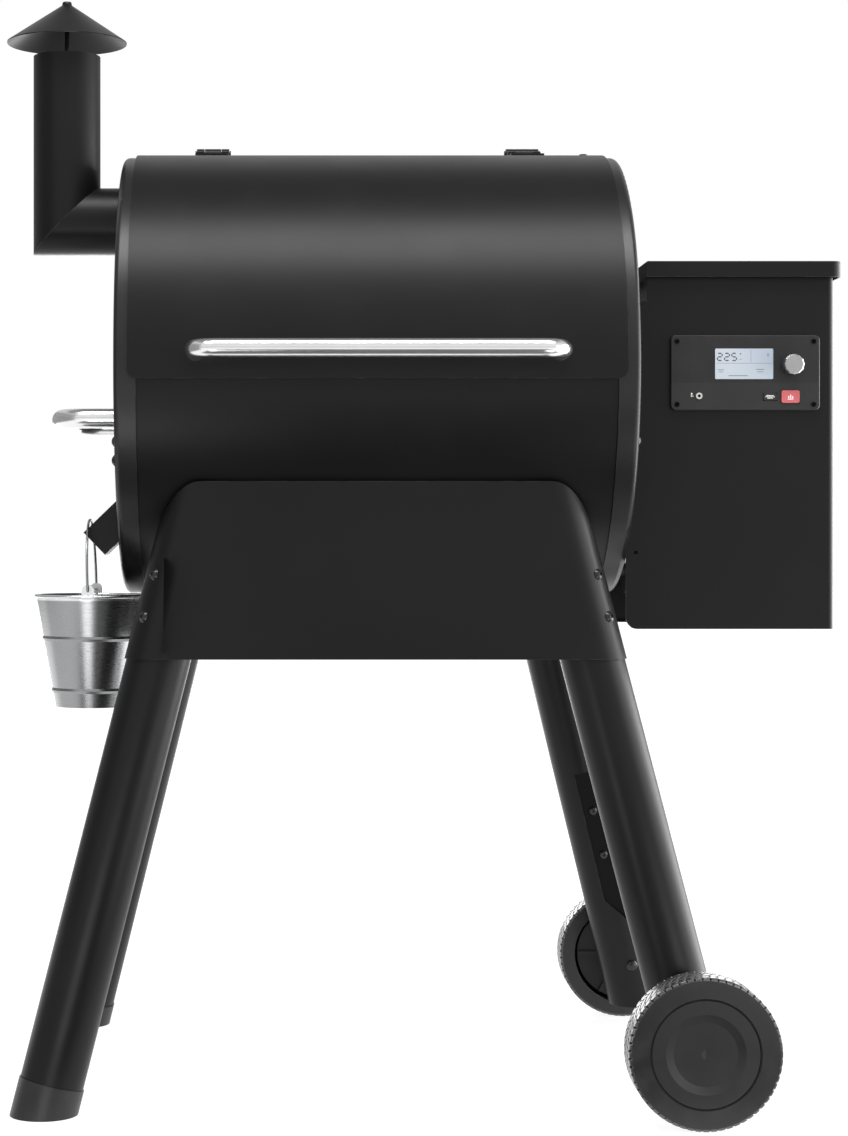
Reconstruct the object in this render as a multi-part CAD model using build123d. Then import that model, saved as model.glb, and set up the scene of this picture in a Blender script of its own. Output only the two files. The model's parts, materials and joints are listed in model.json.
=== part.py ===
from build123d import *
import math
import os

# Pellet smoker grill: a barrel on sawhorse legs with a lid, chimney, pellet hopper and wheels.
# Millimetres, +Z up, front at -Y. Every piece is drawn with X = 0 at the middle of the barrel, and
# write() moves it to the row frame, whose origin is on the floor under the middle of the whole grill.

# --- Driving dimensions -------------------------------------------------------------------------
FIT = 0.05                  # radial clearance of a running fit
GAP = 0.5                   # air between neighbouring bodies
SHEET = 1.5                 # common sheet thickness

AXIS_Z = 866.0              # height of the barrel's axis
SHELL_R = 269.5             # outside of the rolled barrel sheet
CAP_R = 272.0               # outside of the end caps' bands
CAP_X = 304.0               # outer face of an end cap
BAND = 26.0                 # width of an end cap's band
CAP_ROUND = 7.0             # rounded outer edge of an end cap

LID_IN_R = 273.2
LID_OUT_R = 275.5
LID_HALF = 288.0
LID_LOW = -4.1              # degrees above the front of the barrel, where the lid's lower edge is
LID_HIGH = 95.0             # degrees, the lid's rear edge
MOUTH_LOW = -1.5            # degrees, the opening in the barrel under the lid
MOUTH_HIGH = 90.0
MOUTH_HALF = 266.0
LID_SCREW = (268.7, -12.0, AXIS_Z + LID_OUT_R)

HINGE_X = 196.5
HINGE_WIDE = 41.0
HINGE_Y = 35.0
HINGE_Z = 1151.0
HINGE_PIN_R = 3.0
KNUCKLE_R = 7.0

HANDLE_R = 11.0
HANDLE_HALF = 219.6
HANDLE_Y = -330.0
HANDLE_Z = 877.0
HANDLE_BEND = 25.0

TOW_R = 12.0
TOW_Z = 808.0
TOW_Y = 114.0
TOW_X = -391.0
TOW_BEND = 38.0

PIPE_R = 42.5
PIPE_X = -383.0
PIPE_Y = 40.0
PIPE_Z = 1066.0
PIPE_TOP = 1276.0
RAIN_RIM_R = 76.0
RAIN_RIM_Z = 1294.5
RAIN_APEX_Z = 1342.0
TOP_Z = 1346.0

SPOUT_Y = -120.0
SPOUT_WIDE = 64.0
SPOUT_DEEP = 37.0
SPOUT_TILT = 44.0
SPOUT_TIP = (-347.0, 669.5)

BUCKET_X = -339.0
BUCKET_RIM_R = 67.6
BUCKET_RIM_Z = 593.0
BUCKET_BASE_R = 44.1
BUCKET_BASE_Z = 460.0
BUCKET_RIBS = (480.0, 542.5)
EAR_Z = 600.0
BAIL_R = 1.5
BAIL_TOP = 684.9
BAIL_TOP_X = -341.6         # where the bail hangs in the spout's notches
BAIL_HALF = 72.0

LEG_R = 37.0
LEG_WALL = 1.5
LEG_X = 383.5               # leg's centre at the floor
LEG_Y = 265.0
LEG_LEAN = 0.2494           # sideways shift per unit of height
LEG_SPLAY = 0.09            # fore-and-aft shift per unit of height
LEG_TOP = 648.0
WHEEL_LEG_END = 28.0
SLOT_LOW = 156.0            # the long slot in the inner side of a wheel-side leg, measured along it
SLOT_HIGH = 364.0
SLOT_HALF = 14.0
SLOT_CORNER = 187.0         # where its lower end starts to slant
SLOT_TIP = 9.0              # sideways place of the slanted end's tip
STRIP_SCREW_Z = (247.6, 309.2)
FOOT_R = 38.3
FOOT_FLOOR = 6.0
FOOT_MID_Z = 35.5

PANEL_TOP = 729.0
PANEL_LOW = 522.5
PANEL_GAP = 0.3
PANEL_THICK = 2.0
PANEL_TOP_HALF = 204.0
PANEL_BOLT_Z = (562.3, 611.3)
PANEL_BOLT_TURN = 46.0      # degrees round the leg, from the front to the outer side

WHEEL_X = 363.5
WHEEL_R = 86.3
WHEEL_IN = 309.0
WHEEL_OUT = 354.0
TYRE_BORE_R = 66.0
AXLE_R = 6.0

HOPPER_LEFT = 304.0
HOPPER_RIGHT = 554.0
HOPPER_FRONT = -140.0
HOPPER_REAR = 115.0
HOPPER_LOW = 553.6
HOPPER_TOP = 990.0
HOPPER_ROUND = 7.0
NOTCH_X = 330.0             # the hopper stands clear of the barrel above the notch
NOTCH_Z = 948.0
HLID_LEFT = 328.0
HLID_RIGHT = 562.0
HLID_FRONT = -150.0
HLID_REAR = 127.0
HLID_LOW = 976.0
HLID_TOP = 995.0
HLID_PIN_Y = 121.5
HLID_PIN_Z = 987.0
HLID_PIN_R = 2.0
HLID_KNUCKLE_R = 4.5
HLID_HINGES = (378.0, 512.0)
BIN_LEFT = 338.0
BIN_RIGHT = 543.0
BIN_FRONT = -82.0
BIN_REAR = 104.0
FUNNEL_TOP = 860.0
FUNNEL_LOW = 712.0
THROAT = (400.0, 470.0, -22.0, 22.0)        # low X, high X, low Y, high Y
DOOR_HOLE_X = (385.0, 485.0)
DOOR_HOLE_Z = (715.0, 775.0)
INLET_X = 500.0
INLET_Z = 600.0
DRAIN_HOLE = (316.0, 645.6)

PLATE = (357.0, 536.0, 816.4, 906.3)        # controller plate: low X, high X, low Z, high Z
PLATE_FRONT = -146.0
SCREEN = (410.0, 480.0, 853.4, 890.4)
KNOB = (501.4, 870.4)
KNOB_R = 12.2
KNOB_TALL = 18.0
IGNITE = (489.7, 511.2, 825.0, 840.0)
MENU = (468.0, 484.0, 828.0, 836.5)
JACK = (391.0, 833.4)
JACK_BORE_R = 1.8

AUGER_Z = 660.0
AUGER_R = 25.0
TUBE_R = 29.0
TUBE_BORE_R = 27.0
FEED_END = 500.0
POT_X = 15.0
POT_R = 45.0
IGNITER_Z = 623.0
FAN_X = (331.0, 375.0)
FAN_Y = 70.0
FAN_Z = 632.0
FAN_CASE_R = 40.0
FAN_ROTOR_R = 33.0

GRATE_Z = 815.0
RACK_Z = 935.0
RAIL_LOW_Z = 788.0
RAIL_HIGH_Z = 808.5
PROBE = (-118.0, 838.0)     # temperature probe's Y and Z

LEFT_REACH = PIPE_X - RAIN_RIM_R
ROW_X = -(LEFT_REACH + HLID_RIGHT) / 2      # from the barrel's middle to the row frame


# --- Small helpers ------------------------------------------------------------------------------
def write(node, *solids):
    """Write one node, in the row frame, as a file of separate solids."""
    placed = [Pos(ROW_X, 0, 0) * solid for shape in solids for solid in shape.solids()]
    export_step(Compound(children=placed), f"parts/{node}.step")


def block(x_low, x_high, y_low, y_high, z_low, z_high):
    """Box from its low and high corners."""
    centre = Pos((x_low + x_high) / 2, (y_low + y_high) / 2, (z_low + z_high) / 2)
    return centre * Box(x_high - x_low, y_high - y_low, z_high - z_low)


def rod(radius, start, end):
    """Round bar between two points."""
    run = Vector(*end) - Vector(*start)
    seat = Plane(origin=start, z_dir=run)
    return seat * Pos(0, 0, run.length / 2) * Cylinder(radius, run.length)


def pipe(outer, inner, start, end):
    """Round tube between two points."""
    return rod(outer, start, end) - rod(inner, start, end)


def along_x(radius, x_low, x_high, y=0.0, z=AXIS_Z):
    """Cylinder along X, on the barrel's axis unless another is given."""
    return rod(radius, (x_low, y, z), (x_high, y, z))


def along_y(radius, y_low, y_high, x, z):
    """Cylinder along Y."""
    return rod(radius, (x, y_low, z), (x, y_high, z))


def round_block(x_low, x_high, z_low, z_high, y_low, y_high, corner):
    """Plate that faces the front, with its four corners rounded."""
    outline = RectangleRounded(x_high - x_low, z_high - z_low, corner)
    middle = ((x_low + x_high) / 2, y_high, (z_low + z_high) / 2)
    return extrude(Plane(origin=middle, x_dir=(1, 0, 0), z_dir=(0, -1, 0)) * outline, y_high - y_low)


def ring_sector(inner, outer, low, high, x_half, x_mid=0.0):
    """Curved sheet about the barrel's axis, between two angles above the front."""
    sheet = pipe(outer, inner, (x_mid - x_half, 0, AXIS_Z), (x_mid + x_half, 0, AXIS_Z))
    return sheet & wedge(low, high, 1.6 * outer, x_half, x_mid)


def wedge(low, high, reach, x_half, x_mid=0.0):
    """Slice of pie about the barrel's axis, between two angles above the front."""
    turns = [low + (high - low) * step / 3 for step in range(4)]
    rim = [(-reach * math.cos(math.radians(t)), AXIS_Z + reach * math.sin(math.radians(t))) for t in turns]
    face = make_face(Polyline((0, AXIS_Z), *rim, close=True))
    return extrude(Plane.YZ.offset(x_mid - x_half) * face, 2 * x_half)


def turned(points, centre, axis_dir):
    """Solid turned about an axis through centre, from (radius, height) points."""
    face = make_face(Plane.XZ * Polyline(*points, close=True))
    return Plane(origin=centre, z_dir=axis_dir) * revolve(face, Axis.Z)


def both_sides(make):
    """The same piece at the left and at the right."""
    return [make(-1), make(1)]


def button_bolt(shank):
    """M6 button-head bolt along +Z, its head standing on Z = 0 and its shank below."""
    head_r = 7.0
    head_tall = 3.8
    key_r = 2.4
    ball = 0.5 * (head_r ** 2 + head_tall ** 2) / head_tall
    head = Pos(0, 0, head_tall - ball) * Sphere(ball)
    head = head & Pos(0, 0, head_tall / 2) * Cylinder(2 * head_r, head_tall)
    key = extrude(RegularPolygon(key_r, 6), head_tall)
    return head - Pos(0, 0, head_tall / 2) * key + Pos(0, 0, -shank / 2) * Cylinder(3, shank)


# --- Barrel -------------------------------------------------------------------------------------
def barrel_shell():
    """Rolled sheet with the opening that the lid covers."""
    half = CAP_X - CAP_ROUND - GAP
    shell = pipe(SHELL_R, SHELL_R - SHEET, (-half, 0, AXIS_Z), (half, 0, AXIS_Z))
    return shell - wedge(MOUTH_LOW, MOUTH_HIGH, 1.6 * SHELL_R, MOUTH_HALF)


def end_cap(side):
    """Pressed end cap: a flat disc with a band that fits over the shell."""
    inner = CAP_X - BAND
    cup = along_x(CAP_R, *sorted((side * inner, side * CAP_X)))
    outer_edge = cup.edges().filter_by(GeomType.CIRCLE).sort_by(Axis.X)[-1 if side > 0 else 0]
    cup = fillet(outer_edge, CAP_ROUND)
    hollow = along_x(SHELL_R + 0.2, *sorted((side * (inner - 1), side * (CAP_X - SHEET))))
    inner_edge = hollow.edges().filter_by(GeomType.CIRCLE).sort_by(Axis.X)[-1 if side > 0 else 0]
    return cup - fillet(inner_edge, CAP_ROUND - SHEET)


def end_cap_left():
    """The chimney, grease spout and tow handle end."""
    cap = end_cap(-1)
    cap -= along_x(PIPE_R - SHEET, -CAP_X - 1, -CAP_X + SHEET + 1, PIPE_Y, PIPE_Z)
    cap -= spout_core(SHEET)
    for y in (-TOW_Y, TOW_Y):
        cap -= along_x(4.3, -CAP_X - 1, -CAP_X + SHEET + 1, y, TOW_Z)
    for place in end_bolt_places():
        cap -= place * Cylinder(3.2, 20)
    return cap


def end_cap_right():
    """The hopper end, with the holes for the auger tube, fan and temperature probe."""
    cap = end_cap(1)
    reach = (CAP_X - SHEET - 1, CAP_X + 1)
    cap -= along_x(TUBE_R + GAP, *reach, 0, AUGER_Z)
    cap -= along_x(18, *reach, FAN_Y, FAN_Z)
    cap -= along_x(3 + FIT, *reach, *PROBE)
    for place in end_bolt_places():
        cap -= place * Cylinder(3.2, 20)
    return cap


def end_bolt_places():
    """Bolts through the end caps: two beside each other at the left, one at the right, front and rear."""
    left = [(-235, 775), (-235, 753), (235, 775), (235, 753)]
    right = [(-240, 776), (240, 776)]
    places = [Plane(origin=(-CAP_X, y, z), z_dir=(-1, 0, 0)).location for y, z in left]
    return places + [Plane(origin=(CAP_X, y, z), z_dir=(1, 0, 0)).location for y, z in right]


# --- Lid ----------------------------------------------------------------------------------------
def lid():
    """Curved lid, with rounded front corners and a hole for each handle bolt."""
    corner = 10.0
    sheet = ring_sector(LID_IN_R, LID_OUT_R, LID_LOW, LID_HIGH, LID_HALF)
    low_edge = AXIS_Z + LID_OUT_R * math.sin(math.radians(LID_LOW))
    short = sheet.edges().filter_by(lambda edge: edge.length < 3)
    sheet = fillet(short.filter_by(lambda edge: edge.center().Z < low_edge + 5), corner)
    for side in (-1, 1):
        x = side * (HANDLE_HALF - HANDLE_R)
        sheet -= along_y(4.2, -LID_OUT_R - 5, -LID_IN_R + 5, x, HANDLE_Z)
    return sheet - rod(3.2, LID_SCREW, (LID_SCREW[0], LID_SCREW[1], LID_SCREW[2] - 12))


def lid_screw():
    """Small screw on the lid's top, near its right edge."""
    x, y, z = LID_SCREW
    head = Pos(x, y, z + 1.1) * Cylinder(5, 2.2)
    nut = Pos(x, y, z - 5.8) * extrude(RegularPolygon(5, 6), 2.4)
    return head + rod(3, (x, y, z - 6), (x, y, z + 1)) + nut


def handle_path():
    """Centreline of the lid's handle, from one foot on the lid to the other."""
    foot = -LID_OUT_R
    x = HANDLE_HALF - HANDLE_R
    route = [(-x, foot, HANDLE_Z), (-x, HANDLE_Y, HANDLE_Z), (x, HANDLE_Y, HANDLE_Z), (x, foot, HANDLE_Z)]
    return FilletPolyline(*route, radius=HANDLE_BEND)


def lid_handle():
    """Bent bar, coped to the lid at both feet and bored for its bolts."""
    path = handle_path()
    bar = sweep(Plane(origin=path @ 0, z_dir=path % 0) * Circle(HANDLE_R), path=path)
    bar -= along_x(LID_OUT_R, -LID_HALF, LID_HALF)
    for side in (-1, 1):
        x = side * (HANDLE_HALF - HANDLE_R)
        bar -= along_y(4, -LID_OUT_R - 25, -LID_OUT_R + 5, x, HANDLE_Z)
    return bar


def handle_bolt(side):
    """Bolt from the inside of the lid into a foot of the handle."""
    x = side * (HANDLE_HALF - HANDLE_R)
    head = along_y(7.5, -LID_IN_R + 0.8, -LID_IN_R + 4.8, x, HANDLE_Z)
    return head + along_y(4, -LID_OUT_R - 24, -LID_IN_R + 1, x, HANDLE_Z)


def lid_hinge(side):
    """Lid's half of a hinge: two knuckles on a curved leaf."""
    x = side * HINGE_X
    leaf = ring_sector(LID_OUT_R, LID_OUT_R + 2.5, 82, 92.5, HINGE_WIDE / 2, x)
    for way in (-1, 1):
        near = x + way * (HINGE_WIDE / 4 + 0.6)
        far = x + way * HINGE_WIDE / 2
        low, high = sorted((near, far))
        arm = block(low, high, 4, HINGE_Y, AXIS_Z + LID_OUT_R + 0.6, HINGE_Z - 1)
        knuckle = along_x(KNUCKLE_R, low, high, HINGE_Y, HINGE_Z)
        leaf += arm + knuckle
    return leaf - along_x(HINGE_PIN_R + FIT, x - HINGE_WIDE, x + HINGE_WIDE, HINGE_Y, HINGE_Z)


def barrel_hinge(side):
    """Barrel's half of a hinge: one knuckle on a strap that lies on the shell."""
    x = side * HINGE_X
    half = HINGE_WIDE / 4
    strap = ring_sector(SHELL_R, SHELL_R + 2.5, 95.5, 108, HINGE_WIDE / 2, x)
    post = block(x - half, x + half, HINGE_Y - 5, HINGE_Y + 6, AXIS_Z + SHELL_R - 8, HINGE_Z)
    post -= along_x(SHELL_R, x - HINGE_WIDE, x + HINGE_WIDE)
    knuckle = along_x(KNUCKLE_R, x - half, x + half, HINGE_Y, HINGE_Z)
    return strap + post + knuckle - along_x(HINGE_PIN_R, x - HINGE_WIDE, x + HINGE_WIDE, HINGE_Y, HINGE_Z)


def hinge_pin(side):
    """Pin with a flat head at each end, outside the knuckles."""
    half = HINGE_WIDE / 2 + GAP
    x = side * HINGE_X
    pin = along_x(HINGE_PIN_R, x - half, x + half, HINGE_Y, HINGE_Z)
    for way in (-1, 1):
        low, high = sorted((x + way * half, x + way * (half + 1.5)))
        pin += along_x(HINGE_PIN_R + 1.6, low, high, HINGE_Y, HINGE_Z)
    return pin


# --- Tow handle, chimney, spout and bucket ------------------------------------------------------
def tow_handle():
    """Bar at the left end that the grill is lifted and rolled by."""
    out = TOW_X + TOW_R
    route = [(-CAP_X, -TOW_Y, TOW_Z), (out, -TOW_Y, TOW_Z), (out, TOW_Y, TOW_Z), (-CAP_X, TOW_Y, TOW_Z)]
    path = FilletPolyline(*route, radius=TOW_BEND)
    bar = sweep(Plane(origin=path @ 0, z_dir=path % 0) * Circle(TOW_R), path=path)
    for y in (-TOW_Y, TOW_Y):
        bar -= along_x(4, -CAP_X - 25, -CAP_X + 5, y, TOW_Z)
    return bar


def tow_bolt(y):
    """Bolt from the inside of the end cap into a foot of the tow handle."""
    inside = -CAP_X + SHEET
    return along_x(4, -CAP_X - 24, inside + 0.5, y, TOW_Z) + along_x(7.5, inside, inside + 4, y, TOW_Z)


def mitre(upper):
    """Block on one side of the elbow's slanting joint: the upright tube's or the level one's."""
    big = 600.0
    keep = Pos(PIPE_X, PIPE_Y, PIPE_Z) * Rot(0, 45, 0) * Pos((-1 if upper else 1) * big / 2, 0, 0)
    return keep * Box(big, big, 2 * big)


def chimney_pipe():
    """Upright tube, cut slanting at its foot for the elbow."""
    tube = pipe(PIPE_R, PIPE_R - SHEET, (PIPE_X, PIPE_Y, PIPE_Z - 80), (PIPE_X, PIPE_Y, PIPE_TOP))
    return tube & mitre(True)


def chimney_elbow():
    """Level tube from the end cap to the upright one, with its fixing flange."""
    tube = along_x(PIPE_R, PIPE_X - 80, -CAP_X, PIPE_Y, PIPE_Z) & mitre(False)
    flange = along_x(PIPE_R + 13, -CAP_X - 2, -CAP_X, PIPE_Y, PIPE_Z)
    return tube + flange - along_x(PIPE_R - SHEET, PIPE_X - 90, -CAP_X + 5, PIPE_Y, PIPE_Z)


def chimney_rod():
    """Threaded rod on a strap across the pipe, which carries the rain cap."""
    strap_z = PIPE_TOP - 34
    strap = block(PIPE_X - PIPE_R, PIPE_X + PIPE_R, PIPE_Y - 8, PIPE_Y + 8, strap_z - 2, strap_z)
    strap = strap & rod(PIPE_R - SHEET, (PIPE_X, PIPE_Y, strap_z - 5), (PIPE_X, PIPE_Y, strap_z + 5))
    return strap + rod(3, (PIPE_X, PIPE_Y, strap_z - 1), (PIPE_X, PIPE_Y, TOP_Z - 1))


def chimney_cap():
    """Sheet cone on its two nuts."""
    wall = 1.4
    flat_r = 6.5
    cone = [(3.2, RAIN_APEX_Z), (flat_r, RAIN_APEX_Z - 0.4), (RAIN_RIM_R, RAIN_RIM_Z),
            (RAIN_RIM_R, RAIN_RIM_Z - wall), (flat_r, RAIN_APEX_Z - 0.4 - 1.2 * wall),
            (3.2, RAIN_APEX_Z - 1.2 * wall)]
    return turned(cone, (PIPE_X, PIPE_Y, 0), (0, 0, 1))


def chimney_nuts():
    """Round-topped nut over the cone and a plain nut under it."""
    seat = RAIN_APEX_Z
    top = turned([(3 + FIT, seat), (6.2, seat), (6.2, seat + 1.5), (5.4, TOP_Z), (3 + FIT, TOP_Z)],
                 (PIPE_X, PIPE_Y, 0), (0, 0, 1))
    under = Pos(PIPE_X, PIPE_Y, seat - 8) * extrude(RegularPolygon(6, 6), 5)
    hole = rod(3 + FIT, (PIPE_X, PIPE_Y, seat - 20), (PIPE_X, PIPE_Y, seat))
    return [top, under - hole]


def spout_core(shrink):
    """Solid of the slanted spout, from inside the barrel to its tip, smaller by a wall all round."""
    long = 130.0
    tip_x, tip_z = SPOUT_TIP
    seat = Pos(tip_x, SPOUT_Y, tip_z) * Rot(0, -SPOUT_TILT, 0)
    deep = SPOUT_DEEP - 2 * shrink
    start = -1 if shrink else 0
    bar = Pos(start + long / 2, 0, -SPOUT_DEEP / 2) * Box(long, SPOUT_WIDE - 2 * shrink, deep)
    inner = -CAP_X + (SHEET + 2 if shrink else 0)
    return (seat * bar) & block(tip_x - 60, inner, SPOUT_Y - 60, SPOUT_Y + 60, 560, 800)


def grease_spout():
    """Slanted square spout with a notch for the bail in each upper corner."""
    tip_x, tip_z = SPOUT_TIP
    spout = spout_core(0) - spout_core(SHEET)
    rise = math.tan(math.radians(SPOUT_TILT)) * (BAIL_TOP_X - tip_x)
    for side in (-1, 1):
        edge = SPOUT_Y + side * SPOUT_WIDE / 2
        low, high = sorted((edge - side * 4, edge + side * 4))
        spout -= block(BAIL_TOP_X - 3, BAIL_TOP_X + 3, low, high, tip_z + rise - 1, tip_z + rise + 8)
    return spout


def grease_trough():
    """Open gutter inside the left end cap that leads the tray's fat to the spout."""
    x_low = -CAP_X + SHEET + 0.1
    x_high = x_low + 24
    channel = block(x_low, x_high, SPOUT_Y - 30, 190, 712, 732)
    channel -= block(x_low - 1, x_high - SHEET, SPOUT_Y - 28.5, 188.5, 712 + SHEET, 740)
    return channel - block(x_low - 1, x_high - 2, SPOUT_Y - 26, SPOUT_Y + 26, 700, 716)


def bucket():
    """Tapered pail with two beads, a rolled rim and a raised base, and an ear at each side."""
    wall = 1.0
    bead = 1.6
    slope = (BUCKET_RIM_R - BUCKET_BASE_R) / (BUCKET_RIM_Z - BUCKET_BASE_Z)
    radius = lambda z: BUCKET_BASE_R + slope * (z - BUCKET_BASE_Z)
    outer = [(0, BUCKET_BASE_Z + 4), (BUCKET_BASE_R - 4, BUCKET_BASE_Z + 4),
             (BUCKET_BASE_R - 2, BUCKET_BASE_Z), (BUCKET_BASE_R, BUCKET_BASE_Z)]
    for z in BUCKET_RIBS:
        outer += [(radius(z - 3), z - 3), (radius(z) + bead, z), (radius(z + 3), z + 3)]
    outer += [(BUCKET_RIM_R, BUCKET_RIM_Z)]
    inner = [(BUCKET_RIM_R - wall, BUCKET_RIM_Z)]
    for z in reversed(BUCKET_RIBS):
        inner += [(radius(z + 3) - wall, z + 3), (radius(z) + bead - wall, z), (radius(z - 3) - wall, z - 3)]
    inner += [(radius(BUCKET_BASE_Z + 5) - wall, BUCKET_BASE_Z + 5), (0, BUCKET_BASE_Z + 5)]
    place = (BUCKET_X, SPOUT_Y, 0)
    pail = turned(outer + inner, place, (0, 0, 1))
    hem = Pos(BUCKET_X, SPOUT_Y, BUCKET_RIM_Z) * Torus(BUCKET_RIM_R, 2.2)
    pail += hem
    for side in (-1, 1):
        pail += bucket_ear(side)
    return pail


def bucket_ear(side):
    """Round tab on the rim, bored for the bail."""
    near, far = sorted((SPOUT_Y + side * (BUCKET_RIM_R - 0.6), SPOUT_Y + side * (BUCKET_RIM_R + 1.6)))
    ear = along_y(7.5, near, far, BUCKET_X, EAR_Z)
    ear += block(BUCKET_X - 7.5, BUCKET_X + 7.5, near, far, BUCKET_RIM_Z - 4, EAR_Z)
    return ear - along_y(BAIL_R + FIT, near - 2, far + 2, BUCKET_X, EAR_Z)


def bail():
    """Wire handle: both ends turn in through the ears, and the arch hangs on the spout's notches."""
    end = BAIL_HALF - 10
    route = [(BUCKET_X, -end, EAR_Z), (BUCKET_X, -BAIL_HALF, EAR_Z), (BAIL_TOP_X, -BAIL_HALF, BAIL_TOP),
             (BAIL_TOP_X, BAIL_HALF, BAIL_TOP), (BUCKET_X, BAIL_HALF, EAR_Z), (BUCKET_X, end, EAR_Z)]
    points = [(x, SPOUT_Y + y, z) for x, y, z in route]
    arch = BAIL_HALF - 1
    path = FilletPolyline(*points, radius=[1.8, arch, arch, 1.8])
    return sweep(Plane(origin=path @ 0, z_dir=path % 0) * Circle(BAIL_R), path=path)


# --- Legs and panels ----------------------------------------------------------------------------
def leg_point(side, way, z):
    """Point on a leg's centreline at a height; side is -1 left, +1 right; way is -1 front, +1 rear."""
    return (side * (LEG_X - LEG_LEAN * z), way * (LEG_Y - LEG_SPLAY * z), z)


def leg_core(radius, side, way, z_low, z_high):
    """Cylinder along a leg, cut level at both ends."""
    spare = 60
    bar = rod(radius, leg_point(side, way, z_low - spare), leg_point(side, way, z_high + spare))
    return bar & block(-600, 600, -400, 400, z_low, z_high)


def bolt_seat(side, way, z, radius):
    """Place of a panel bolt: on a leg's skin, turned from the panel's face towards the outer side."""
    foot = Vector(*leg_point(side, way, z))
    along = (Vector(*leg_point(side, way, z + 100)) - foot).normalized()
    face = Vector(0, way, LEG_SPLAY).normalized()
    outer = (Vector(side, 0, 0) - along * Vector(side, 0, 0).dot(along)).normalized()
    turn = math.radians(PANEL_BOLT_TURN)
    out = face * math.cos(turn) + outer * math.sin(turn)
    return Plane(origin=foot + out * radius, z_dir=out).location


def bolt_holes(side, way):
    """The holes of a leg's two panel bolts, through panel, leg and saddle."""
    seats = [bolt_seat(side, way, z, LEG_R) for z in PANEL_BOLT_Z]
    return [seat * Cylinder(3.2, 30) for seat in seats]


def leg(side, way):
    """Round leg; on the wheel side it is bored for the axle and slotted on its inner side."""
    low = FOOT_FLOOR if side < 0 else WHEEL_LEG_END
    tube = leg_core(LEG_R, side, way, low, LEG_TOP) - leg_core(LEG_R - LEG_WALL, side, way, low, LEG_TOP)
    for hole in bolt_holes(side, way):
        tube -= hole
    if side > 0:
        tube -= along_y(AXLE_R + 0.2, *sorted((way * 150, way * 300)), WHEEL_X, WHEEL_R)
        tube -= slot_cutter(way)
    return tube


def slot_frame(way):
    """Plane inside a wheel-side leg, facing the inner side, with its Y along the leg."""
    foot = Vector(*leg_point(1, way, 0))
    along = (Vector(*leg_point(1, way, 100)) - foot).normalized()
    inward = Vector(0, -way, 0)
    inward = (inward - along * inward.dot(along)).normalized()
    return Plane(origin=foot, x_dir=along.cross(inward), z_dir=inward)


def slot_outline(grow, way):
    """Long slot with a slanted lower end, whose tip is nearer the leg's outer side."""
    half = SLOT_HALF + grow
    points = [(-half, SLOT_HIGH + grow), (half, SLOT_HIGH + grow), (half, SLOT_LOW + 6),
              (SLOT_TIP, SLOT_LOW - grow), (-half, SLOT_CORNER)]
    return Polyline(*[(way * x, y) for x, y in points], close=True)


def slot_cutter(way):
    """Cuts the slot through the inner wall of a wheel-side leg."""
    return extrude(slot_frame(way).offset(15) * make_face(slot_outline(0, way)), LEG_R)


def leg_strip(way):
    """Flat stiffener behind the slot, with two screws in it."""
    depth = 30.0
    strip = extrude(slot_frame(way).offset(depth - 3) * make_face(slot_outline(3, way)), 3)
    for place in strip_screw_places(way):
        strip -= place * Cylinder(3.2, 12)
    return strip


def strip_screw_places(way):
    """Seats of the two screws in a leg's stiffener."""
    frame = slot_frame(way).offset(30)
    return [frame.location * Pos(0, height, 0) for height in STRIP_SCREW_Z]


def saddle(side, way):
    """Tube that plugs a leg's top and is coped to the barrel, which rests on the four of them."""
    outer_r = LEG_R - LEG_WALL - 0.3
    plug = leg_core(outer_r, side, way, 550, 700) - leg_core(outer_r - 4, side, way, 550, 700)
    plug -= along_x(SHELL_R + 0.05, -CAP_X, CAP_X)
    for hole in bolt_holes(side, way):
        plug -= hole
    return max(plug.solids(), key=lambda solid: solid.volume)


def foot_cap(way):
    """Plastic foot: a sleeve with a level sole, cut square to the leg at the top."""
    base = leg_core(FOOT_R, -1, way, 0, 90)
    top = Vector(*leg_point(-1, way, FOOT_MID_Z))
    along = Vector(*leg_point(-1, way, 100)) - Vector(*leg_point(-1, way, 0))
    base -= Plane(origin=top, z_dir=along) * Pos(0, 0, 60) * Box(160, 160, 120)
    return base - leg_core(LEG_R + FIT, -1, way, FOOT_FLOOR, 120)


def panel(way):
    """Sawhorse panel: flat between two legs, rolled round the outer side of both."""
    inner_r = LEG_R + PANEL_GAP
    outer_r = inner_r + PANEL_THICK
    face_dir = (0, way, LEG_SPLAY)
    origin = (0, way * LEG_Y, 0)
    frame = Plane(origin=origin, x_dir=(-way, 0, 0), z_dir=face_dir)
    rise = math.hypot(1, LEG_SPLAY)
    low, high = PANEL_LOW - 20, PANEL_TOP + 20
    low_x, high_x = LEG_X - LEG_LEAN * low, LEG_X - LEG_LEAN * high
    flat = Polyline((-low_x, low * rise), (low_x, low * rise), (high_x, high * rise),
                    (-high_x, high * rise), close=True)
    sheet = extrude(frame.offset(inner_r) * make_face(flat), PANEL_THICK)
    for side in (-1, 1):
        spread = 70.0
        tube = pipe(outer_r, inner_r, leg_point(-way * side, way, low), leg_point(-way * side, way, high))
        keep = Polyline((side * low_x, low * rise), (side * high_x, high * rise),
                        (side * (high_x + spread), high * rise), (side * (low_x + spread), low * rise),
                        close=True)
        sheet += tube & extrude(frame.offset(-9) * make_face(keep), outer_r + 20)
    return (sheet & panel_outline()) - along_x(CAP_R + PANEL_GAP, -CAP_X, CAP_X)


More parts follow.
